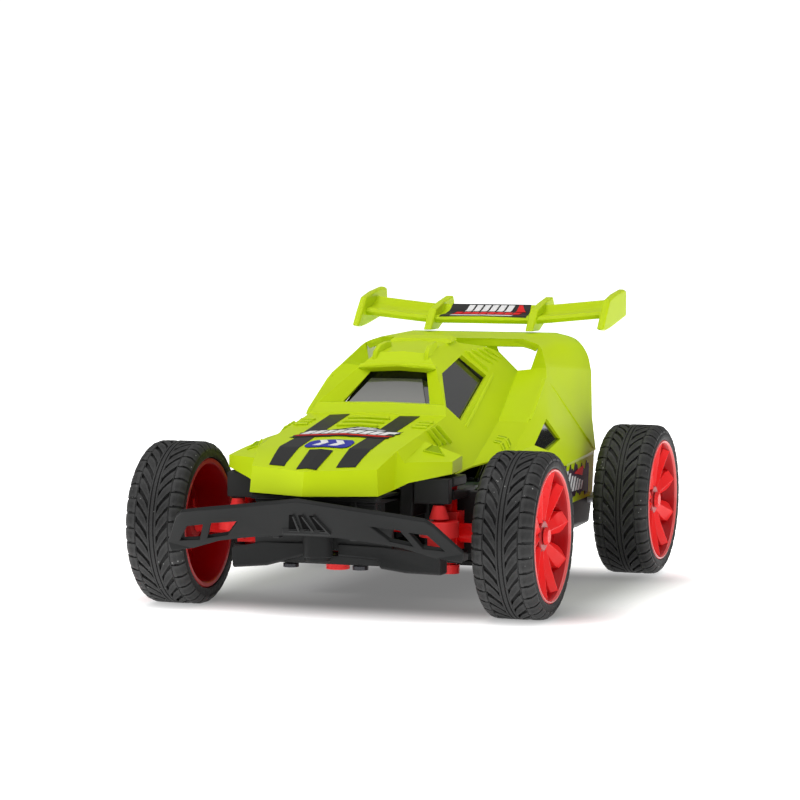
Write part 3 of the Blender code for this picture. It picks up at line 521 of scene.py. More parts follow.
def hoop(points, panels):
    """Adds the rear hoop's rounded shoulder to the half-skin, as strips between two smooth curves."""
    front = through(HOOP_FRONT, HOOP_STEPS)
    back = through(HOOP_BACK, HOOP_STEPS)
    last = len(front) - 1
    for i, (f, b) in enumerate(zip(front, back)):
        points[f"hoop_front_{i}"] = f
        points[f"hoop_back_{i}"] = b
    for i in range(last):
        panels.append(f"hoop_front_{i} hoop_front_{i + 1} hoop_back_{i + 1} hoop_back_{i}")
    panels.append("arch_front arch_bar_in arch_bar_out hoop_front_0 hoop_back_0 arch_back")
    panels.append(f"hoop_front_{last} apex arch_back_mid hoop_back_{last}")
    panels.append(f"fin_low apex hoop_front_{last} ramp_back")
    for i in range(HOOP_STEPS, last):
        panels.append(f"ramp_back hoop_front_{i + 1} hoop_front_{i}")
    return front


def make_flange(name, front, side):
    """The turned-down lip under the front edge of the rear hoop, on one side."""
    edge = [Vector((0.4, 110, 87))] + [Vector(p) for p in front[:HOOP_STEPS + 1]]
    sections = []
    for i, p in enumerate(edge):
        drop = 3.0 if i < 2 else 3.0 - 0.1 * i
        q = p + Vector((-0.25 * i, 0.3, -drop))
        shape = (p + Vector((0, 0.25, -0.3)), p + Vector((0, 1.9, -0.3)), q + Vector((0, 1.6, 0)), q)
        sections.append([(c.x * side, c.y, c.z) for c in shape])
    solid(name, sections, "lime_plastic", 0.3, 2)


def make_body():
    points = dict(POINTS)
    panels = list(PANELS)
    front = hoop(points, panels)
    body = skin("body_skin", points, panels, "lime_plastic", 1.5, 0.5)
    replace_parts(body, "body_shell")
    for side, hand in SIDES:
        make_flange("hoop_lip_" + hand, front, side)
    return body


def make_panes():
    """A smoked pane behind each opening, and a screen inside a black surround in front, painted paler
    towards its bottom as a reflection.
    """
    corners = ((-16.6, 35.0, 66.0), (16.6, 35.0, 66.0), (11.6, 54.4, 80.6), (-11.6, 54.4, 80.6))
    pane("windscreen_surround", corners, "windscreen", depth=2.9, grow=1.0)
    inner = ((-14.6, 36.9, 67.5), (14.0, 36.9, 67.5), (9.0, 48.2, 75.9), (-9.6, 48.2, 75.9))
    # The screen's tone is painted paler towards its bottom: a painted reflection.
    pane("windscreen_screen", inner, look=WINDSCREEN_PAINTED_REFLECTION, depth=1.9, grow=1.0)
    for side, hand in SIDES:
        def corners_of(keys):
            return [(POINTS[key][0] * side, *POINTS[key][1:]) for key in keys.split()]
        pane("side_pane_" + hand, corners_of("window_front window_top window_back window_low window_sill"),
             "side_window_" + hand, depth=2.9, outward=(side, 0, 0.6))
        pane("pod_pane_" + hand, corners_of("kite_top kite_back kite_low kite_front"), "pod_window_" + hand,
             depth=2.0, grow=1.16, outward=(side, 0, 0))


# ---------------------------------------------------------------- draped details

def surface_of(obj):
    """A ray test against an object as it renders, in millimetres from the front axle."""
    shown = obj.evaluated_get(bpy.context.evaluated_depsgraph_get())

    def hit(start, direction):
        origin = Vector(start) * MM + FRONT_AXLE
        found, place, normal, _ = shown.ray_cast(origin, Vector(direction), distance=0.5)
        if not found:
            return None, None
        return (place - FRONT_AXLE) / MM, normal

    return hit


def drape(name, hit, corners, look, lift=0.02, thickness=0.13, cells=(10, 10), toward=DOWN, edge=None):
    """A thin sticker laid on the surface that `hit` tests, looking `toward` along an axis. Its four
    corners are pairs: the two coordinates across that axis, in the axes' order. `edge(u, v)` gives a
    pair that shifts a place inside the patch, for a ragged or curved outline."""
    a, b, c, d = [Vector(p) for p in corners]
    bm = bmesh.new()
    low = []
    high = []
    across, along = cells
    for row in range(along + 1):
        v = row / along
        low.append([])
        high.append([])
        for column in range(across + 1):
            u = column / across
            pair = (a * (1 - u) + b * u) * (1 - v) + (d * (1 - u) + c * u) * v
            if edge:
                pair = pair + Vector(edge(u, v))
            rest = iter(pair)
            place = Vector([0.0 if step else next(rest) for step in toward])
            place.x += OFF_SEAM
            found, normal = hit(place - Vector(toward) * RAY_START, toward)
            if found is None:
                bm.free()
                return None
            low[-1].append(bm.verts.new((found + normal * lift) * MM))
            high[-1].append(bm.verts.new((found + normal * (lift + thickness)) * MM))
    for row in range(along):
        for column in range(across):
            for grid in (low, high):
                bm.faces.new((grid[row][column], grid[row][column + 1], grid[row + 1][column + 1],
                              grid[row + 1][column]))
    rim = ([(0, i) for i in range(across)] + [(i, across) for i in range(along)]
           + [(along, i) for i in range(across, 0, -1)] + [(i, 0) for i in range(along, 0, -1)])
    for (r0, c0), (r1, c1) in zip(rim, rim[1:] + rim[:1]):
        bm.faces.new((low[r0][c0], low[r1][c1], high[r1][c1], high[r0][c0]))
    return from_bm(name, bm, None, look, smooth_angle=40)


def lime_bar(name, hit, corners, lift, thickness, cells, width, segments):
    """A raised lime bar moulded on the surface, where the surface lies under the whole of it."""
    bar = drape(name, hit, corners, LOOKS["lime_plastic"], lift, thickness, cells)
    if bar:
        soften(bar, width, segments)


def leaning(x, y, wide, tall, lean):
    """The corners of a slanted dash, from its low left corner."""
    return ((x, y), (x + wide, y), (x + wide + lean, y + tall), (x + lean, y + tall))


def make_hollows(hit):
    """A triangular hollow with a raised rim on each ear, and two short slots on each ramp. The hollows'
    floors and the slots are darker lime patches: painted shade.
    """
    for side, hand in SIDES:
        tips = [Vector((x * side, y)) for x, y in ((28.4, -9.8), (34.4, -5.6), (30.2, -1.2))]
        middle = sum(tips, Vector((0, 0))) / 3
        near = [tip.lerp(middle, 0.12) for tip in tips]
        # The hollow's floor is a darker lime patch: painted shade.
        drape("ear_hollow_" + hand, hit, (*near, near[2].lerp(near[0], 0.04)), LIME_PAINTED_SHADE, 0.03, 0.1, (6, 6))
        for i, (p, q) in enumerate(zip(tips, tips[1:] + tips[:1])):
            lime_bar(f"ear_rim_{i + 1}_{hand}", hit, (p, q, q.lerp(middle, 0.16), p.lerp(middle, 0.16)),
                     -0.2, 0.75, (6, 1), 0.2, 2)
        for word, near_x, far_x, y in (("upper", 35.3, 40.0, 51.6), ("lower", 35.6, 39.4, 47.0)):
            near_x *= side
            far_x *= side
            corners = ((near_x, y - 0.2), (far_x, y - 1.0), (far_x, y + 0.5), (near_x, y + 1.2))
            # Each slot is a darker lime strip: painted shade.
            drape(f"ramp_slot_{word}_{hand}", hit, corners, LIME_PAINTED_SHADE, 0.04, 0.1, (5, 2))
            corners = ((near_x, y - 1.0), (far_x, y - 1.8), (far_x, y - 1.0), (near_x, y - 0.2))
            drape(f"ramp_slot_lip_{word}_{hand}", hit, corners, LOOKS["lime_plastic"], 0.0, 0.35, (5, 2))


def make_stripes(hit):
    """Racing stripes: two long ones over the hood and nose, and one short one between them on the nose."""
    for side, word in SIDES:
        def widen(u, v):
            swell = max(0.0, 1 - abs(v - 0.216) / 0.216)
            outer = u if side > 0 else 1 - u
            return (side * swell * (0.9 * outer - 0.3 * (1 - outer)), 0)
        inner_low = (8.8 * side, -38.5)
        outer_low = (14.5 if side > 0 else -14.9, -36.0)
        if side > 0:
            corners = (inner_low, outer_low, (15.9, 25.2), (9.1, 24.0))
        else:
            corners = (outer_low, inner_low, (-9.1, 25.2), (-15.9, 24.0))
        drape("stripe_" + word, hit, corners, DECAL_BLACK, 0.07, cells=(8, 64), edge=widen)
    drape("stripe_nose_middle", hit, ((-3.4, -42.0), (3.4, -42.0), (4.0, -28.0), (-4.0, -28.0)),
          DECAL_BLACK, 0.16, cells=(20, 10))


def make_hood_marks(hit):
    """A blue plate with two generic chevrons, and a slanted flash of dashes over the stripes."""
    drape("plate_field", hit, ((-7.4, -26.0), (7.8, -25.4), (7.4, -14.6), (-7.4, -16.0)), DECAL_BLUE, 0.24,
          cells=(18, 12), edge=lambda u, v: ((0.5 - u) * 15.0 * max(0.0, abs(v - 0.5) - 0.3), 0))
    for word, x in (("right", -4.6), ("left", 0.9)):
        drape("plate_chevron_low_" + word, hit, leaning(x, -24.0, 2.5, 3.8, 1.8), DECAL_WHITE, 0.40,
              cells=(4, 5))
        drape("plate_chevron_high_" + word, hit, leaning(x + 1.8, -20.2, 2.5, 3.6, -1.8), DECAL_WHITE, 0.40,
              cells=(4, 5))
    drape("flash_field", hit, ((-17.6, -10.4), (15.4, -8.6), (18.0, 1.2), (-14.0, 0.2)), DECAL_BLACK, 0.20,
          cells=(40, 14), edge=lambda u, v: (0.5 * math.sin(v * 19),
                                             (0.55 * math.sin(u * 51) + 0.5 * math.sin(u * 23)) * (v - 0.3)))
    drape("flash_crest", hit, ((-5.4, 0.0), (12.4, 0.6), (8.6, 4.6), (0.8, 4.4)), DECAL_BLACK, 0.20,
          cells=(20, 6), edge=lambda u, v: (0, 0.4 * math.sin(u * 30) * v))
    strokes = (
        (-15.2, -6.6, 2.9, 4.6, 1.8), (-11.5, -6.4, 2.5, 4.9, 1.8), (-8.2, -6.2, 2.3, 4.8, 1.8),
        (-5.1, -6.0, 2.6, 5.0, 1.8), (-1.7, -5.9, 2.3, 4.9, 1.8), (1.4, -5.7, 2.6, 4.9, 1.8),
        (4.8, -5.5, 2.3, 4.9, 1.8), (7.9, -5.3, 2.6, 4.8, 1.8), (11.3, -5.1, 2.4, 4.6, 1.8),
        (-1.6, 0.6, 4.4, 1.0, 1.6), (3.8, 0.8, 6.4, 0.9, 1.6), (1.0, 2.5, 5.8, 0.9, 1.4),
        (14.2, -2.8, 2.2, 2.4, 1.0),
    )
    for i, stroke in enumerate(strokes):
        drape(f"flash_dash_{i + 1}", hit, leaning(*stroke), DECAL_WHITE, 0.36, cells=(4, 5))
    drape("flash_underline", hit, ((-16.4, -8.9), (14.4, -7.2), (16.6, -5.8), (-15.6, -7.7)), DECAL_RED,
          0.36, cells=(30, 3))


def make_hood_vents(hit):
    """Louvre bars on the hood: three short ones in the middle and three on each side."""
    for i in range(3):
        y = 6.5 + 5.7 * i
        corners = ((-7.4, y), (7.4, y), (7.0, y + 2.2), (-7.0, y + 2.2))
        lime_bar(f"hood_louvre_{i + 1}", hit, corners, -0.3, 1.2, (8, 2), 0.45, 3)
        y = 8.5 + 3.7 * i
        for side, word in SIDES:
            low, high = sorted((18.4 * side, 23.4 * side))
            corners = ((low, y), (high, y), (high, y + 1.8), (low, y + 1.8))
            lime_bar(f"side_louvre_{word}_{i + 1}", hit, corners, -0.3, 1.0, (4, 2), 0.35, 2)


def make_roof_rails():
    """Two wedge rails over the roof's front edge, a raised lip across its back and a thin brow in front."""
    for side, word in SIDES:
        sections = []
        for y, low, high, half in ((51.0, 79.6, 81.8, 0.9), (52.2, 80.4, 84.4, 1.0), (55.4, 82.0, 86.2, 1.0),
                                   (61.0, 84.2, 87.2, 0.9), (65.0, 84.8, 87.3, 0.7)):
            x = (9.5 - 0.075 * (y - 50)) * side
            sections.append([(x - half - 0.2, y, low), (x + half + 0.2, y, low), (x + half * 0.75, y, high),
                             (x - half * 0.75, y, high)])
        solid("roof_rail_" + word, sections, "lime_plastic", 0.35)
    sections = []
    for x in (-11.4, -9.6, -3, 3, 9.6, 11.4):
        top = 88.9 if abs(x) < 10 else 88.1
        sections.append([(x, 72.6, 86.4), (x, 80.2, 87.2), (x, 79.9, top + 0.1), (x, 74.4, top - 0.9)])
    solid("roof_lip", sections, "lime_plastic", 0.45)
    path = through(((-13.9, 48.0, 78.7), (-11.0, 48.3, 79.0), (-6, 48.8, 79.4), (0, 49.0, 79.5),
                    (6, 48.8, 79.4), (11.0, 48.3, 79.0), (13.9, 48.0, 78.7)), 4)
    shape = ((-0.1, -0.6), (-0.35, 0.1), (0.1, 0.6), (1.3, 1.3), (1.6, 0.2))
    solid("roof_brow", [[(p.x, p.y + dy, p.z + dz) for dy, dz in shape] for p in path], "lime_plastic", 0.4)


def make_side_slats():
    """The raised ribs on the cabin side behind the window, on the hood's flank and on the ramp."""
    ribs = (
        ("cabin_ridge", (28.4, 37.4, 59.9), (21.0, 95.2, 76.4), 0.9, 1.5),
        ("cabin_slat_1", (14.2, 81.4, 83.6), (20.9, 87.4, 76.2), 0.9, 1.3),
        ("cabin_slat_2", (14.6, 87.6, 83.6), (20.0, 96.4, 77.9), 0.9, 1.3),
        ("cabin_slat_3", (14.9, 93.6, 83.8), (20.2, 102.4, 78.2), 0.9, 1.3),
        ("cabin_slat_4", (15.3, 99.6, 84.0), (20.4, 107.4, 78.4), 0.9, 1.3),
        ("pod_ridge_back", (40.3, 95, 73.6), (44.9, 143.4, 46.0), 0.5, 0.9),
        ("pod_ridge_front", (40.3, 93, 73.6), (41.6, 70.6, 60.6), 0.5, 0.9),
        ("flank_rib_1", (25.0, 7.0, 60.7), (29.4, 7.6, 55.4), 0.5, 0.9),
        ("flank_rib_2", (25.2, 11.0, 61.2), (29.8, 11.6, 55.6), 0.5, 0.9),
        ("flank_rib_3", (25.4, 15.0, 61.7), (30.4, 15.6, 55.8), 0.5, 0.9),
    )
    for word, start, end, proud, wide in ribs:
        sideways, up = (1.0, 0.25) if word.startswith("pod") else (0.72, 0.68)
        for side, hand in SIDES:
            a = Vector((start[0] * side, start[1], start[2]))
            b = Vector((end[0] * side, end[1], end[2]))
            along = (b - a).normalized()
            out = Vector((sideways * side, -0.1, up))
            out = (out - along * out.dot(along)).normalized()
            across = along.cross(out) * wide
            sections = []
            for t, share in ((0.0, 0.3), (0.12, 1.0), (0.88, 1.0), (1.0, 0.3)):
                root = a.lerp(b, t) - out * 0.9
                crest = a.lerp(b, t) + out * proud * share
                sections.append([root + across * 0.5, root - across * 0.5, crest - across * 0.32,
                                 crest + across * 0.32])
            solid(f"{word}_{hand}", sections, "lime_plastic", 0.2, 2)


def make_skirt_splash(hit):
    """A generic splash sticker on the skirt: a ragged dark field with pale strokes and a red tick."""
    def torn(u, v):
        ragged = 1.3 * math.sin(u * 29) + 0.7 * math.sin(u * 71 + 1.0) + 0.5 * math.sin(u * 13 + 2.0)
        return (1.4 * math.sin(v * 11) * (1 - u), ragged * (v - 0.35) * 1.5)

    strokes = ((108.2, 32.8, 1.7, 6.8, 3.0), (111.6, 32.4, 1.9, 6.2, 2.8), (115.2, 32.0, 1.6, 5.4, 2.4),
               (118.4, 31.8, 2.0, 5.2, 2.3), (122.2, 31.8, 1.5, 4.4, 2.0), (125.2, 31.8, 1.9, 3.8, 1.7),
               (129.0, 31.8, 1.4, 3.2, 1.4))
    for side, hand in SIDES:
        inward = (-side, 0, 0)
        drape("splash_field_" + hand, hit, ((104, 30.2), (139, 30.4), (139.5, 39.8), (108, 40.6)),
              DECAL_PLUM, cells=(70, 14), toward=inward, edge=torn)
        for i, stroke in enumerate(strokes):
            drape(f"splash_stroke_{i + 1}_{hand}", hit, leaning(*stroke), DECAL_WHITE, 0.18, cells=(3, 5),
                  toward=inward)
        drape("splash_tick_" + hand, hit, ((120.4, 38.2), (130.6, 36.8), (132.4, 40.4), (126.0, 39.6)),
              DECAL_RED, 0.18, cells=(8, 4), toward=inward)


# ---------------------------------------------------------------- wing

def make_wing():
    """The rear wing: a dished deck with a rounded front edge, two end plates and two ribs."""
    sections = []
    for x in (-46.9, -40, -33, -26, -20, -10, 0, 10, 20, 26, 33, 40, 46.9):
        outboard = max(0.0, abs(x) - 21)
        lift = outboard * 0.1
        front = 147.2 + 0.03 * abs(x)
        back = 161.2 + 1.9 * outboard / 26
        shape = ((front + 0.2, 91.0), (front - 0.5, 92.4), (front + 0.5, 93.6), (front + 2.2, 94.0),
                 (front + 6, 94.2), (front + 10, 95.4), (back - 0.6, 97.9), (back + 0.2, 97.6), (back, 95.9),
                 (front + 9, 92.8), (front + 5, 91.6))
        sections.append([(x, y, z + lift) for y, z in shape])
    deck = solid("wing_deck", sections, "lime_plastic", 0.25, 2, smooth_angle=40, angle=35.0)
    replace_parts(deck, "rear_wing")
    plate = ((139.9, 89.7), (144.2, 94.9), (149.4, 100.4), (158, 102.3), (170.5, 103.9), (173.4, 103.4),
             (174, 101.5), (174, 93.8), (160, 91.4), (150, 89.8), (144, 89.2))
    rib = ((142.2, 88.5), (145.6, 92.6), (149.2, 96.3), (158, 98.6), (170, 100.8), (172, 98), (163, 93),
           (152, 88.5))
    for side, hand in SIDES:
        for word, outline, near, far, width in (("plate", plate, 46.2, 48.9, 0.7),
                                                ("rib", rib, 18.3, 21.3, 0.45)):
            sections = [[(x * side, y, z) for y, z in outline] for x in (near, far)]
            solid(f"wing_{word}_{hand}", sections, "lime_plastic", width)
    return deck


def make_wing_sticker(deck):
    """A black panel between the ribs with two rows of generic slanted dashes, an underline and a flash."""
    hit = surface_of(deck)
    drape("wing_panel", hit, ((-17, 148.0), (17, 148.0), (15.4, 160.6), (-15.4, 160.6)), DECAL_BLACK,
          cells=(18, 14))
    rows = (("white", DECAL_WHITE, 6, -9.4, 3.1, 156.3, 2.3, 3.6),
            ("red", DECAL_RED, 8, -13.2, 3.25, 152.2, 2.7, 3.2))
    for word, look, count, first, pitch, y, wide, tall in rows:
        for i in range(count):
            corners = leaning(first + i * pitch, y, wide, tall, 1.0)
            drape(f"wing_{word}_dash_{i + 1}", hit, corners, look, 0.17, cells=(3, 6))
    drape("wing_underline", hit, leaning(-13, 148.7, 24, 0.8, 0.4), DECAL_WHITE, 0.17, cells=(12, 2))
    drape("wing_flash", hit, ((10.6, 156.2), (14.6, 156.2), (12.4, 160.0), (11.0, 160.0)), DECAL_RED, 0.17,
          cells=(4, 4))


# ---------------------------------------------------------------- bumper

# The blade's corners, as (x, z)
BLADE = {
    "peak": (0, 40.6), "top_a": (10, 39.3), "top_b": (20, 38.0), "top_c": (31, 36.7),
    "top_out": (41.2, 35.3), "top_round": (43.5, 33.7), "low_mid": (0, 28.6), "low_a": (10, 28.4),
    "low_b": (21, 27.3), "low_c": (31, 25.8), "low_out": (41.6, 22.6), "win_in_top": (22.7, 32.8),
    "win_in_low": (27.6, 28.0), "div_top_in": (32.0, 31.8), "div_low_in": (35.0, 26.6),
    "div_top_out": (35.1, 31.2), "div_low_out": (38.1, 25.9), "win_out_top": (40.9, 30.4),
    "win_out_low": (45.2, 25.2),
}
BUMPER_PANELS = (
    "peak top_a low_a low_mid", "top_a top_b win_in_top win_in_low low_b low_a",
    "top_b top_c div_top_in win_in_top", "win_in_low div_low_in low_c low_b",
    "top_c top_out div_top_out div_top_in", "div_top_in div_top_out div_low_out div_low_in",
    "div_low_in div_low_out low_out low_c",
    "top_out top_round win_out_top div_top_out", "top_round tip win_out_low win_out_top",
    "div_low_out win_out_low tip low_out", "tip tip_low low_out",
)


def make_bumper():
    """The wide front bumper: a raked blade with a slanted window pair each side and three slanted slots,
    each a dark sheet of painted shade with a sill and a fin.
    """
    points = {key: (x, -14.92 - 0.0132 * x - 0.897 * z, z) for key, (x, z) in BLADE.items()}
    points["tip"] = (50.6, -35.6, 24.4)
    points["tip_low"] = (49.9, -34.4, 21.3)
    blade = skin("bumper_blade", points, BUMPER_PANELS, "black_plastic", 1.75, 0.38)
    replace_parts(blade, "front_bumper")
    hit = surface_of(blade)
    black = LOOKS["black_plastic"]
    slots = ((-3.9, -2.6, -6.0, -2.2), (-0.8, 0.5, -0.7, 3.0), (2.9, 4.3, 4.5, 8.0))
    for i, (top_near, top_far, low_near, low_far) in enumerate(slots):
        # Each slot is a dark sheet: painted shade in place of a recess.
        drape(f"bumper_slot_{i + 1}", hit, ((low_near, 30.0), (low_far, 30.0), (top_far, 35.9),
                                            (top_near, 35.9)), SLOT_PAINTED_SHADE, cells=(4, 8), toward=BACK)
        drape(f"bumper_sill_{i + 1}", hit, ((low_near + 0.2, 29.9), (low_far + 0.2, 29.9),
                                            (low_far - 0.5, 31.0), (low_near + 0.5, 31.0)), black,
              0.0, 0.7, (4, 2), BACK)
        drape(f"bumper_fin_{i + 1}", hit, ((low_far - 0.2, 30.0), (low_far + 0.5, 30.0),
                                           (top_far + 0.4, 36.0), (top_far - 0.1, 36.0)), black,
              0.0, 0.8, (2, 6), BACK)
    block("bumper_stem", (-8, -43.0, 29.2), (8, -29, 31.6), 0.5)
    gusset = ((4, -41.6), (19, -41.0), (20, -39.6), (10, -32), (4, -32))
    for side, hand in SIDES:
        sections = [[(x * side, y, z) for x, y in gusset] for z in (29.4, 31.0)]
        solid("bumper_gusset_" + hand, sections, "black_plastic", 0.4, 2)
    bm = bmesh.new()
    for low, high, radius in ((19.6, 21.2, 4.2), (21.0, 30, 4.8)):
        middle = Matrix.Translation(Vector((0, -31, (low + high) / 2)) * MM)
        bmesh.ops.create_cone(bm, cap_ends=True, segments=36, radius1=radius * MM, radius2=radius * MM,
                              depth=(high - low) * MM, matrix=middle)
    soften(from_bm("bumper_boss", bm, "black_plastic"), 0.35)


# ---------------------------------------------------------------- wheels

# The tyre's carcass from the rim to the middle of the tread, as (radius, outward)
CARCASS = (
    (22.1, 9.9), (22.6, 10.1), (23.9, 10.1), (24.9, 9.8), (25.6, 9.3), (26.3, 8.6), (26.6, 7.4),
    (26.65, 6.1), (26.65, 5.98), (27.3, 5.94), (27.45, 5.85), (27.45, 5.72), (27.2, 5.66), (26.65, 5.6),
    (26.65, 1.7), (27.2, 1.66), (27.48, 1.45), (27.48, 0.95), (27.2, 0.85), (27.2, 0.62), (27.48, 0.5),
)
BLOCK_STEPS = 3
BLOCK_GAP = 0.045  # of a tread pitch, at both ends of a shoulder block
# Stations of a shoulder block: distance from the middle plane, and its start in tread pitches
SHOULDER_BLOCK = ((6.05, 0.045), (7.0, 0.045), (7.3, 0.13), (8.5, 0.13), (9.3, 0.13), (10.05, 0.13))
# Stations of a slanted bar: distance from the middle plane, share of the slant, share of the bar's length
SLANTED_BAR = ((1.55, 0, 0.8), (2.8, 0.36, 1), (4.2, 0.70, 1), (5.62, 1, 0.92))
BAR_SLANT = math.radians(11.5)
# Stations of a rim arm: radius, spread from the pair's middle, half width and height of the crest
ARM_STATIONS = (
    (3.2, 0.72, 1.0, 6.9), (5.2, 0.82, 1.6, 7.1), (9, 0.98, 2.5, 7.5), (13, 1.06, 3.3, 8.0),
    (17, 1.08, 4.0, 8.6), (20.95, 1.10, 3.5, 9.35),
)
RIM_DISH = (
    (21.8, 9.3), (21.6, 9.6), (21.2, 9.6), (20.9, 9.3), (20.5, 8.6), (19.9, 6.2), (19.2, 5.0), (12, 4.2),
    (5.4, 3.9), (5.2, 6.7), (4.7, 7.0), (2.35, 7.0), (2.1, 6.6), (2.1, -5.0), (5.0, -5.0), (5.2, 1.6),
    (8, 1.8), (18.6, 3.2), (19.7, 2.6), (20.0, -9.3), (20.4, -9.7), (21.5, -9.75), (21.8, -9.4),
)
RIM_LIP = (
    (22.0, 9.2), (22.0, 9.75), (21.8, 10.05), (21.5, 10.15), (21.2, 10.05), (20.98, 9.75), (20.9, 9.2),
)


def crown(x):
    """Tread radius at a distance from the tyre's middle plane, rounded off at the shoulder."""
    x = abs(x)
    if x <= 7.0:
        return 27.5 - 0.0016 * x * x
    t = (x - 7.0) / 3.1
    return 27.42 - 2.35 * t ** 2.4


def tread_block(bm, centre, side, stations, floor):
    """A tread block: `stations` lists (x, first angle, last angle) across the tyre, `floor` is its root."""
    sections = []
    for x, start, end in stations:
        tops = []
        lows = []
        for i in range(BLOCK_STEPS + 1):
            angle = start + (end - start) * i / BLOCK_STEPS
            edge = 0.12 if i in (0, BLOCK_STEPS) else 0.0
            tops.append(around_axle(centre, side, x, crown(x) - edge, angle))
            lows.append(around_axle(centre, side, x, floor, angle))
        sections.append(tops + lows[::-1])
    loft(bm, sections)


def make_tyre(name, centre, side, body):
    """A tyre with shoulder blocks, slanted bars in two bands, a grooved rib and a smooth sidewall."""
    bm = bmesh.new()
    lathe(bm, CARCASS + tuple((radius, -out) for radius, out in reversed(CARCASS)), 136, centre, side)
    pitch = math.tau / TREAD_PITCHES
    for k in range(TREAD_PITCHES):
        for hand in (-1, 1):
            start = (k + (0.5 if hand > 0 else 0.0)) * pitch
            stations = [(x * hand, start + pitch * share, start + pitch * (1 - BLOCK_GAP))
                        for x, share in SHOULDER_BLOCK]
            tread_block(bm, centre, side, stations, 24.6)
            length = pitch * (0.74 if k % 2 else 0.62)
            start = (k + (0.25 if hand > 0 else 0.0)) * pitch
            stations = [(x * hand, start + BAR_SLANT * lean, start + BAR_SLANT * lean + length * share)
                        for x, lean, share in SLANTED_BAR]
            tread_block(bm, centre, side, stations, 25.9)
    for ring in range(3):
        radius = 22.9 + ring * 0.55
        lathe(bm, ((radius, 10.0), (radius + 0.12, 10.2), (radius + 0.24, 10.0)), 96, centre, side)
    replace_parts(from_bm(name + "_tread", bm, "tyre_rubber", body=body, smooth_angle=34), name)


def arm_section(centre, side, angle, radius, half, low, high, crest):
    """A five-cornered cross-section of a rim arm at one radius, with its crest off the middle."""
    along = Vector((0, math.sin(angle), math.cos(angle)))
    across = Vector((0, math.cos(angle), -math.sin(angle)))
    fall = min(1.6, 0.35 + 0.42 * half)
    corners = ((-half, low), (half, low), (half * 0.9, high - fall), (half * crest, high),
               (-half * 0.9, high - fall))
    middle = centre + along * radius
    return [middle + across * offset + Vector((out * side, 0, 0)) for offset, out in corners]


def make_rim(name, centre, side, body, turn):
    """A closed dish rim in a darker red, a painted shade: a lip in a paler red, a painted highlight, five
    forked arms, each leg folded along a crest like a leaf, and a dark block in one pocket, painted shade in
    a hole.
    """
    bm = bmesh.new()
    lathe(bm, RIM_DISH, 120, centre, side)
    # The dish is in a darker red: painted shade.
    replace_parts(from_bm(name + "_dish", bm, "red_plastic", RED_PAINTED_SHADE, body, smooth_angle=30), name)
    bm = bmesh.new()
    lathe(bm, RIM_LIP, 120, centre, side)
    # The lip is in a paler red: a painted highlight.
    from_bm(name + "_lip", bm, "red_plastic", LIP_HIGHLIGHT_RED, body, smooth_angle=60)
    bm = bmesh.new()
    for k in range(SPOKE_PAIRS):
        middle = turn + k * math.tau / SPOKE_PAIRS
        for hand in (-1, 1):
            sections = []
            for radius, spread, half, high in ARM_STATIONS:
                angle = middle + ARM_SPREAD * hand * spread
                sections.append(arm_section(centre, side, angle, radius, half, 3.0, high, 0.12 * hand))
            loft(bm, sections)
    soften(from_bm(name + "_arms", bm, "red_plastic", body=body, smooth_angle=18), 0.14, 2, 14.0)
    # A dark block in one pocket stands in for the shade inside a hole: painted shade.
    bm = bmesh.new()
    between = turn - math.pi / SPOKE_PAIRS
    loft(bm, [arm_section(centre, side, between, radius, 0.95, 3.6, 5.6, 0.0) for radius in (9.2, 12.6)])
    from_bm(name + "_slot", bm, "slider_plastic", body=body)


def make_wheels():
    """The four wheels. `turn` is the angle of a rim's first arm pair, in degrees."""
    for end, place, reach, turns in (("front", 0.0, FRONT_REACH, (99, -81)),
                                     ("rear", WHEELBASE, REAR_REACH, (90, -90))):
        for (side, hand), turn in zip(SIDES, turns):
            name = f"{end}_{hand}"
            centre = Vector((reach * side, place, AXLE_Z))
            body = BODY_OF["tyre_" + name]
            make_tyre("tyre_" + name, centre, side, body)
            make_rim("rim_" + name, centre, side, body, math.radians(turn))
            refined("hub_cap_" + name, LOOKS["red_plastic"], 0.3)


# ---------------------------------------------------------------- chassis and running gear

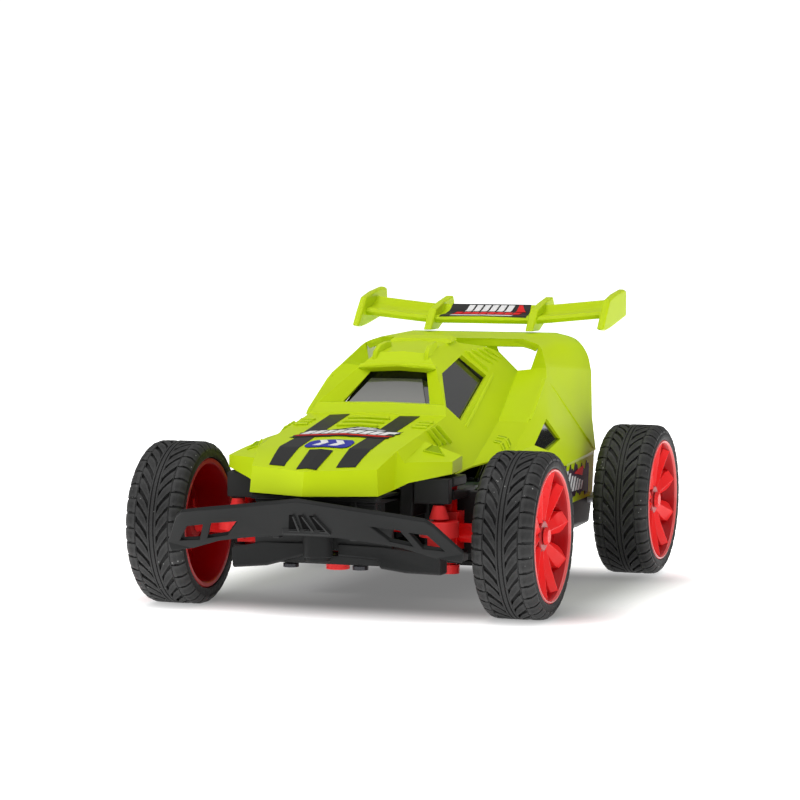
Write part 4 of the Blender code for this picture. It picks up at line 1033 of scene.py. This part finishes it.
def make_chassis_details():
    """Walls and skid plates under the nose, rails under the hood's ears, and the tail's belly and ribs."""
    block("nose_wall", (-20.4, -33.4, 33.0), (20.4, -30.8, 41.2), 0.5)
    block("nose_floor_wall", (-23.6, -26.4, 22.8), (23.6, -23.8, 34.0), 0.4)
    block("nose_ledge", (-21.6, -35.4, 39.6), (21.6, -30.8, 41.3), 0.5)
    pairs = (
        ("ear_rail", (27.0, -9.4, 43.2), (39.0, 4.6, 46.4), 0.5),
        ("ear_skirt", (26.6, -13.4, 37.8), (38.6, -9.6, 46.2), 0.5),
        ("arm_guard", (27.0, 9.0, 19.6), (45.0, 11.4, 40.6), 0.5),
        ("spring_tower", (21.0, -11.0, 33.0), (25.6, 4.0, 45.6), 0.6),
        ("nose_buttress", (12.0, -34.6, 27.0), (14.2, -30.0, 39.8), 0.4),
    )
    skid_edges = {
        "right": ((5.6, 20.8), (19.4, 17.0), (31.0, 15.9), (31.4, 22.2), (21, 24.2), (5.6, 24.6)),
        "left": ((5.6, 20.9), (19.2, 20.2), (19.9, 17.5), (28.5, 16.4), (40.4, 16.2), (40.4, 22.0),
                 (21, 24.2), (5.6, 24.6)),
    }
    belly = ((18.4, 100), (30, 101.5), (40.6, 106), (43.4, 149), (38, 151), (18.4, 151))
    for side, hand in SIDES:
        for word, near, far, width in pairs:
            low, high = sorted((near[0] * side, far[0] * side))
            block(f"{word}_{hand}", (low, *near[1:]), (high, *far[1:]), width)
        sections = [[(x * side, y, z + lift) for x, z in skid_edges[hand]]
                    for y, lift in ((-27.6, 0.6), (-26.4, 0.0), (-20.0, 0.0))]
        solid("skid_plate_" + hand, sections, "black_plastic", 0.4)
        sections = [[(x * side * share, y, z) for x, y in belly]
                    for z, share in ((15.6, 0.86), (18.2, 0.972), (28.8, 1.0))]
        solid("rear_belly_" + hand, sections, "black_plastic", 0.6)
    for i in range(4):
        x = -12 + 8 * i
        block(f"tail_rib_{i + 1}", (x - 0.7, 165.4, 16.8), (x + 0.7, 167.2, 38.8), 0.35)
    block("tail_bar", (-16.4, 165.2, 38.6), (16.4, 167.8, 41.0), 0.6)


# How far the edges of a carried node are rounded
SOFTENED = {
    "knuckle_left": 0.35, "knuckle_right": 0.35, "tie_rod": 0.45, "trim_knob": 0.3, "chassis_tub": 0.4,
    "front_deck": 0.35, "gearbox_cover": 0.4, "battery_door": 0.35, "power_switch_case": 0.25,
    "power_switch_slider": 0.2, "battery_door_screw": 0.15, "body_screw_front_left": 0.15,
    "body_screw_front_right": 0.15, "body_screw_rear_left": 0.15, "body_screw_rear_right": 0.15,
    "drive_motor": 0.4, "steering_motor": 0.4, "circuit_board": 0.1,
}


def make_carried_nodes():
    """Every remaining CAD node: edges rounded where it helps, and a procedural material on all of them."""
    done = {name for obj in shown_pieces() for name in obj.get("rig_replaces", [])}
    for name, cad in NODES.items():
        if name in done:
            continue
        look = DARK_STEEL if "screw" in name else LOOKS[SLOT_OF[name]]
        if name in SOFTENED:
            refined(name, look, SOFTENED[name])
        else:
            cad.data.materials.clear()
            cad.data.materials.append(look)


# ---------------------------------------------------------------- stage

def floor_material():
    """A pale floor that gives off its own light away from the car, as a lit studio sweep does. Round the
    car's footprint it is darker and gives off less light: a painted shadow.
    """
    made = bpy.data.materials.new("floor_painted_shadow_look")
    made.use_nodes = True
    tree = made.node_tree
    place = place_of(tree)
    # The distance from a box round the car's footprint, which sets the painted shadow.
    for operation, second in (("SUBTRACT", (0.004, 0.006, 0.0)), ("ABSOLUTE", None),
                              ("SUBTRACT", (0.057, 0.052, 1.0)), ("MAXIMUM", (0.0, 0.0, 0.0))):
        step = node(tree, "ShaderNodeVectorMath", {"operation": operation}, Vector=place)
        if second:
            step.inputs[1].default_value = second
        place = step.outputs["Vector"]
    away = node(tree, "ShaderNodeVectorMath", {"operation": "LENGTH"}, Vector=place).outputs["Value"]
    # Near the car the floor is darker and gives off less light: a painted shadow.
    painted_shadow_fade = ranged(tree, away, 0.0, 0.055, 0.17, 1.0, kind="SMOOTHSTEP")
    tone = ramp(tree, painted_shadow_fade, ((0.17, (0.30, 0.30, 0.30)), (1.0, (0.93, 0.93, 0.93))))
    feed(tree, shader_of(made), Base_Color=tone, Roughness=0.8, Specular_IOR_Level=0.1,
         Emission_Color=(1.0, 1.0, 1.0, 1.0), Emission_Strength=painted_shadow_fade)
    return made


def staged(name, data):
    """An object that belongs to the stage and not to the car."""
    made = bpy.data.objects.new(name, data)
    bpy.context.scene.collection.objects.link(made)
    return made


def make_floor():
    bm = bmesh.new()
    bmesh.ops.create_grid(bm, x_segments=1, y_segments=1, size=6.0)
    mesh = bpy.data.meshes.new("floor")
    bm.to_mesh(mesh)
    bm.free()
    mesh.materials.append(floor_material())
    staged("floor", mesh)


def make_light(name, place, target, size, power):
    """A square area light. Its places and size are in metres and its power in watts."""
    data = bpy.data.lights.new(name, "AREA")
    data.shape = "RECTANGLE"
    data.size = size
    data.size_y = size
    data.energy = power
    light = staged(name, data)
    light.location = Vector(place)
    light.rotation_mode = "QUATERNION"
    light.rotation_quaternion = (Vector(target) - Vector(place)).to_track_quat("-Z", "Y")


def make_world():
    """White to the camera, and a soft studio to everything else: bright above, greyer at the sides."""
    world = bpy.data.worlds.new("studio")
    bpy.context.scene.world = world
    world.use_nodes = True
    tree = world.node_tree
    tree.nodes.clear()
    height = ranged(tree, axis_of(tree, place_of(tree, "Generated"), "Z"), -1.0, 1.0)
    sky = ramp(tree, height, ((0.0, (0.3, 0.3, 0.3)), (0.5, (0.42, 0.42, 0.43)), (0.62, (0.60, 0.60, 0.61)),
                              (1.0, (1.0, 1.0, 1.0))))
    studio = node(tree, "ShaderNodeBackground", Color=sky, Strength=0.46)
    white = node(tree, "ShaderNodeBackground", Color=(1.0, 1.0, 1.0, 1.0), Strength=1.1)
    seen = node(tree, "ShaderNodeLightPath").outputs["Is Camera Ray"]
    both = node(tree, "ShaderNodeMixShader")
    for i, socket in enumerate((seen, studio.outputs[0], white.outputs[0])):
        tree.links.new(socket, both.inputs[i])
    node(tree, "ShaderNodeOutputWorld", Surface=both.outputs[0])


def make_camera():
    """The photo's camera, solved from the picture: its place in metres and its angles in degrees."""
    data = bpy.data.cameras.new("camera")
    data.lens = 138.25
    data.sensor_width = 36.0
    data.shift_x = 0.0632
    data.shift_y = 0.2630
    data.clip_start = 0.05
    data.clip_end = 20.0
    azimuth = math.radians(19.409)
    elevation = math.radians(7.179)
    roll = math.radians(0.292)
    back = Vector((math.sin(azimuth) * math.cos(elevation), -math.cos(azimuth) * math.cos(elevation),
                   math.sin(elevation)))
    right = Vector((math.cos(azimuth), math.sin(azimuth), 0.0))
    up = back.cross(right)
    turned_right = right * math.cos(roll) + up * math.sin(roll)
    turned_up = up * math.cos(roll) - right * math.sin(roll)
    axes = Matrix((turned_right, turned_up, back)).transposed().to_4x4()
    camera = staged("camera", data)
    camera.matrix_world = Matrix.Translation(Vector((0.33756, -0.95805, 0.12796)) + FRONT_AXLE) @ axes
    bpy.context.scene.camera = camera


def build():
    body = make_body()
    hit = surface_of(body)
    make_stripes(hit)
    make_hood_marks(hit)
    make_hood_vents(hit)
    make_roof_rails()
    make_side_slats()
    make_hollows(hit)
    make_panes()
    make_skirt_splash(hit)
    deck = make_wing()
    make_wing_sticker(deck)
    make_bumper()
    make_wheels()
    make_chassis_details()
    make_carried_nodes()
    make_floor()
    make_world()
    make_light("key", (-0.9, -0.8, 1.8), (0, 0, 0.03), 1.3, 14.0)
    make_light("overhead", (0.1, -0.2, 1.9), (0, 0, 0.0), 2.0, 13.0)
    make_light("fill", (1.7, -0.5, 0.9), (0, 0, 0.04), 1.2, 3.6)
    make_camera()
    bpy.context.scene.view_settings.view_transform = "Standard"


build()
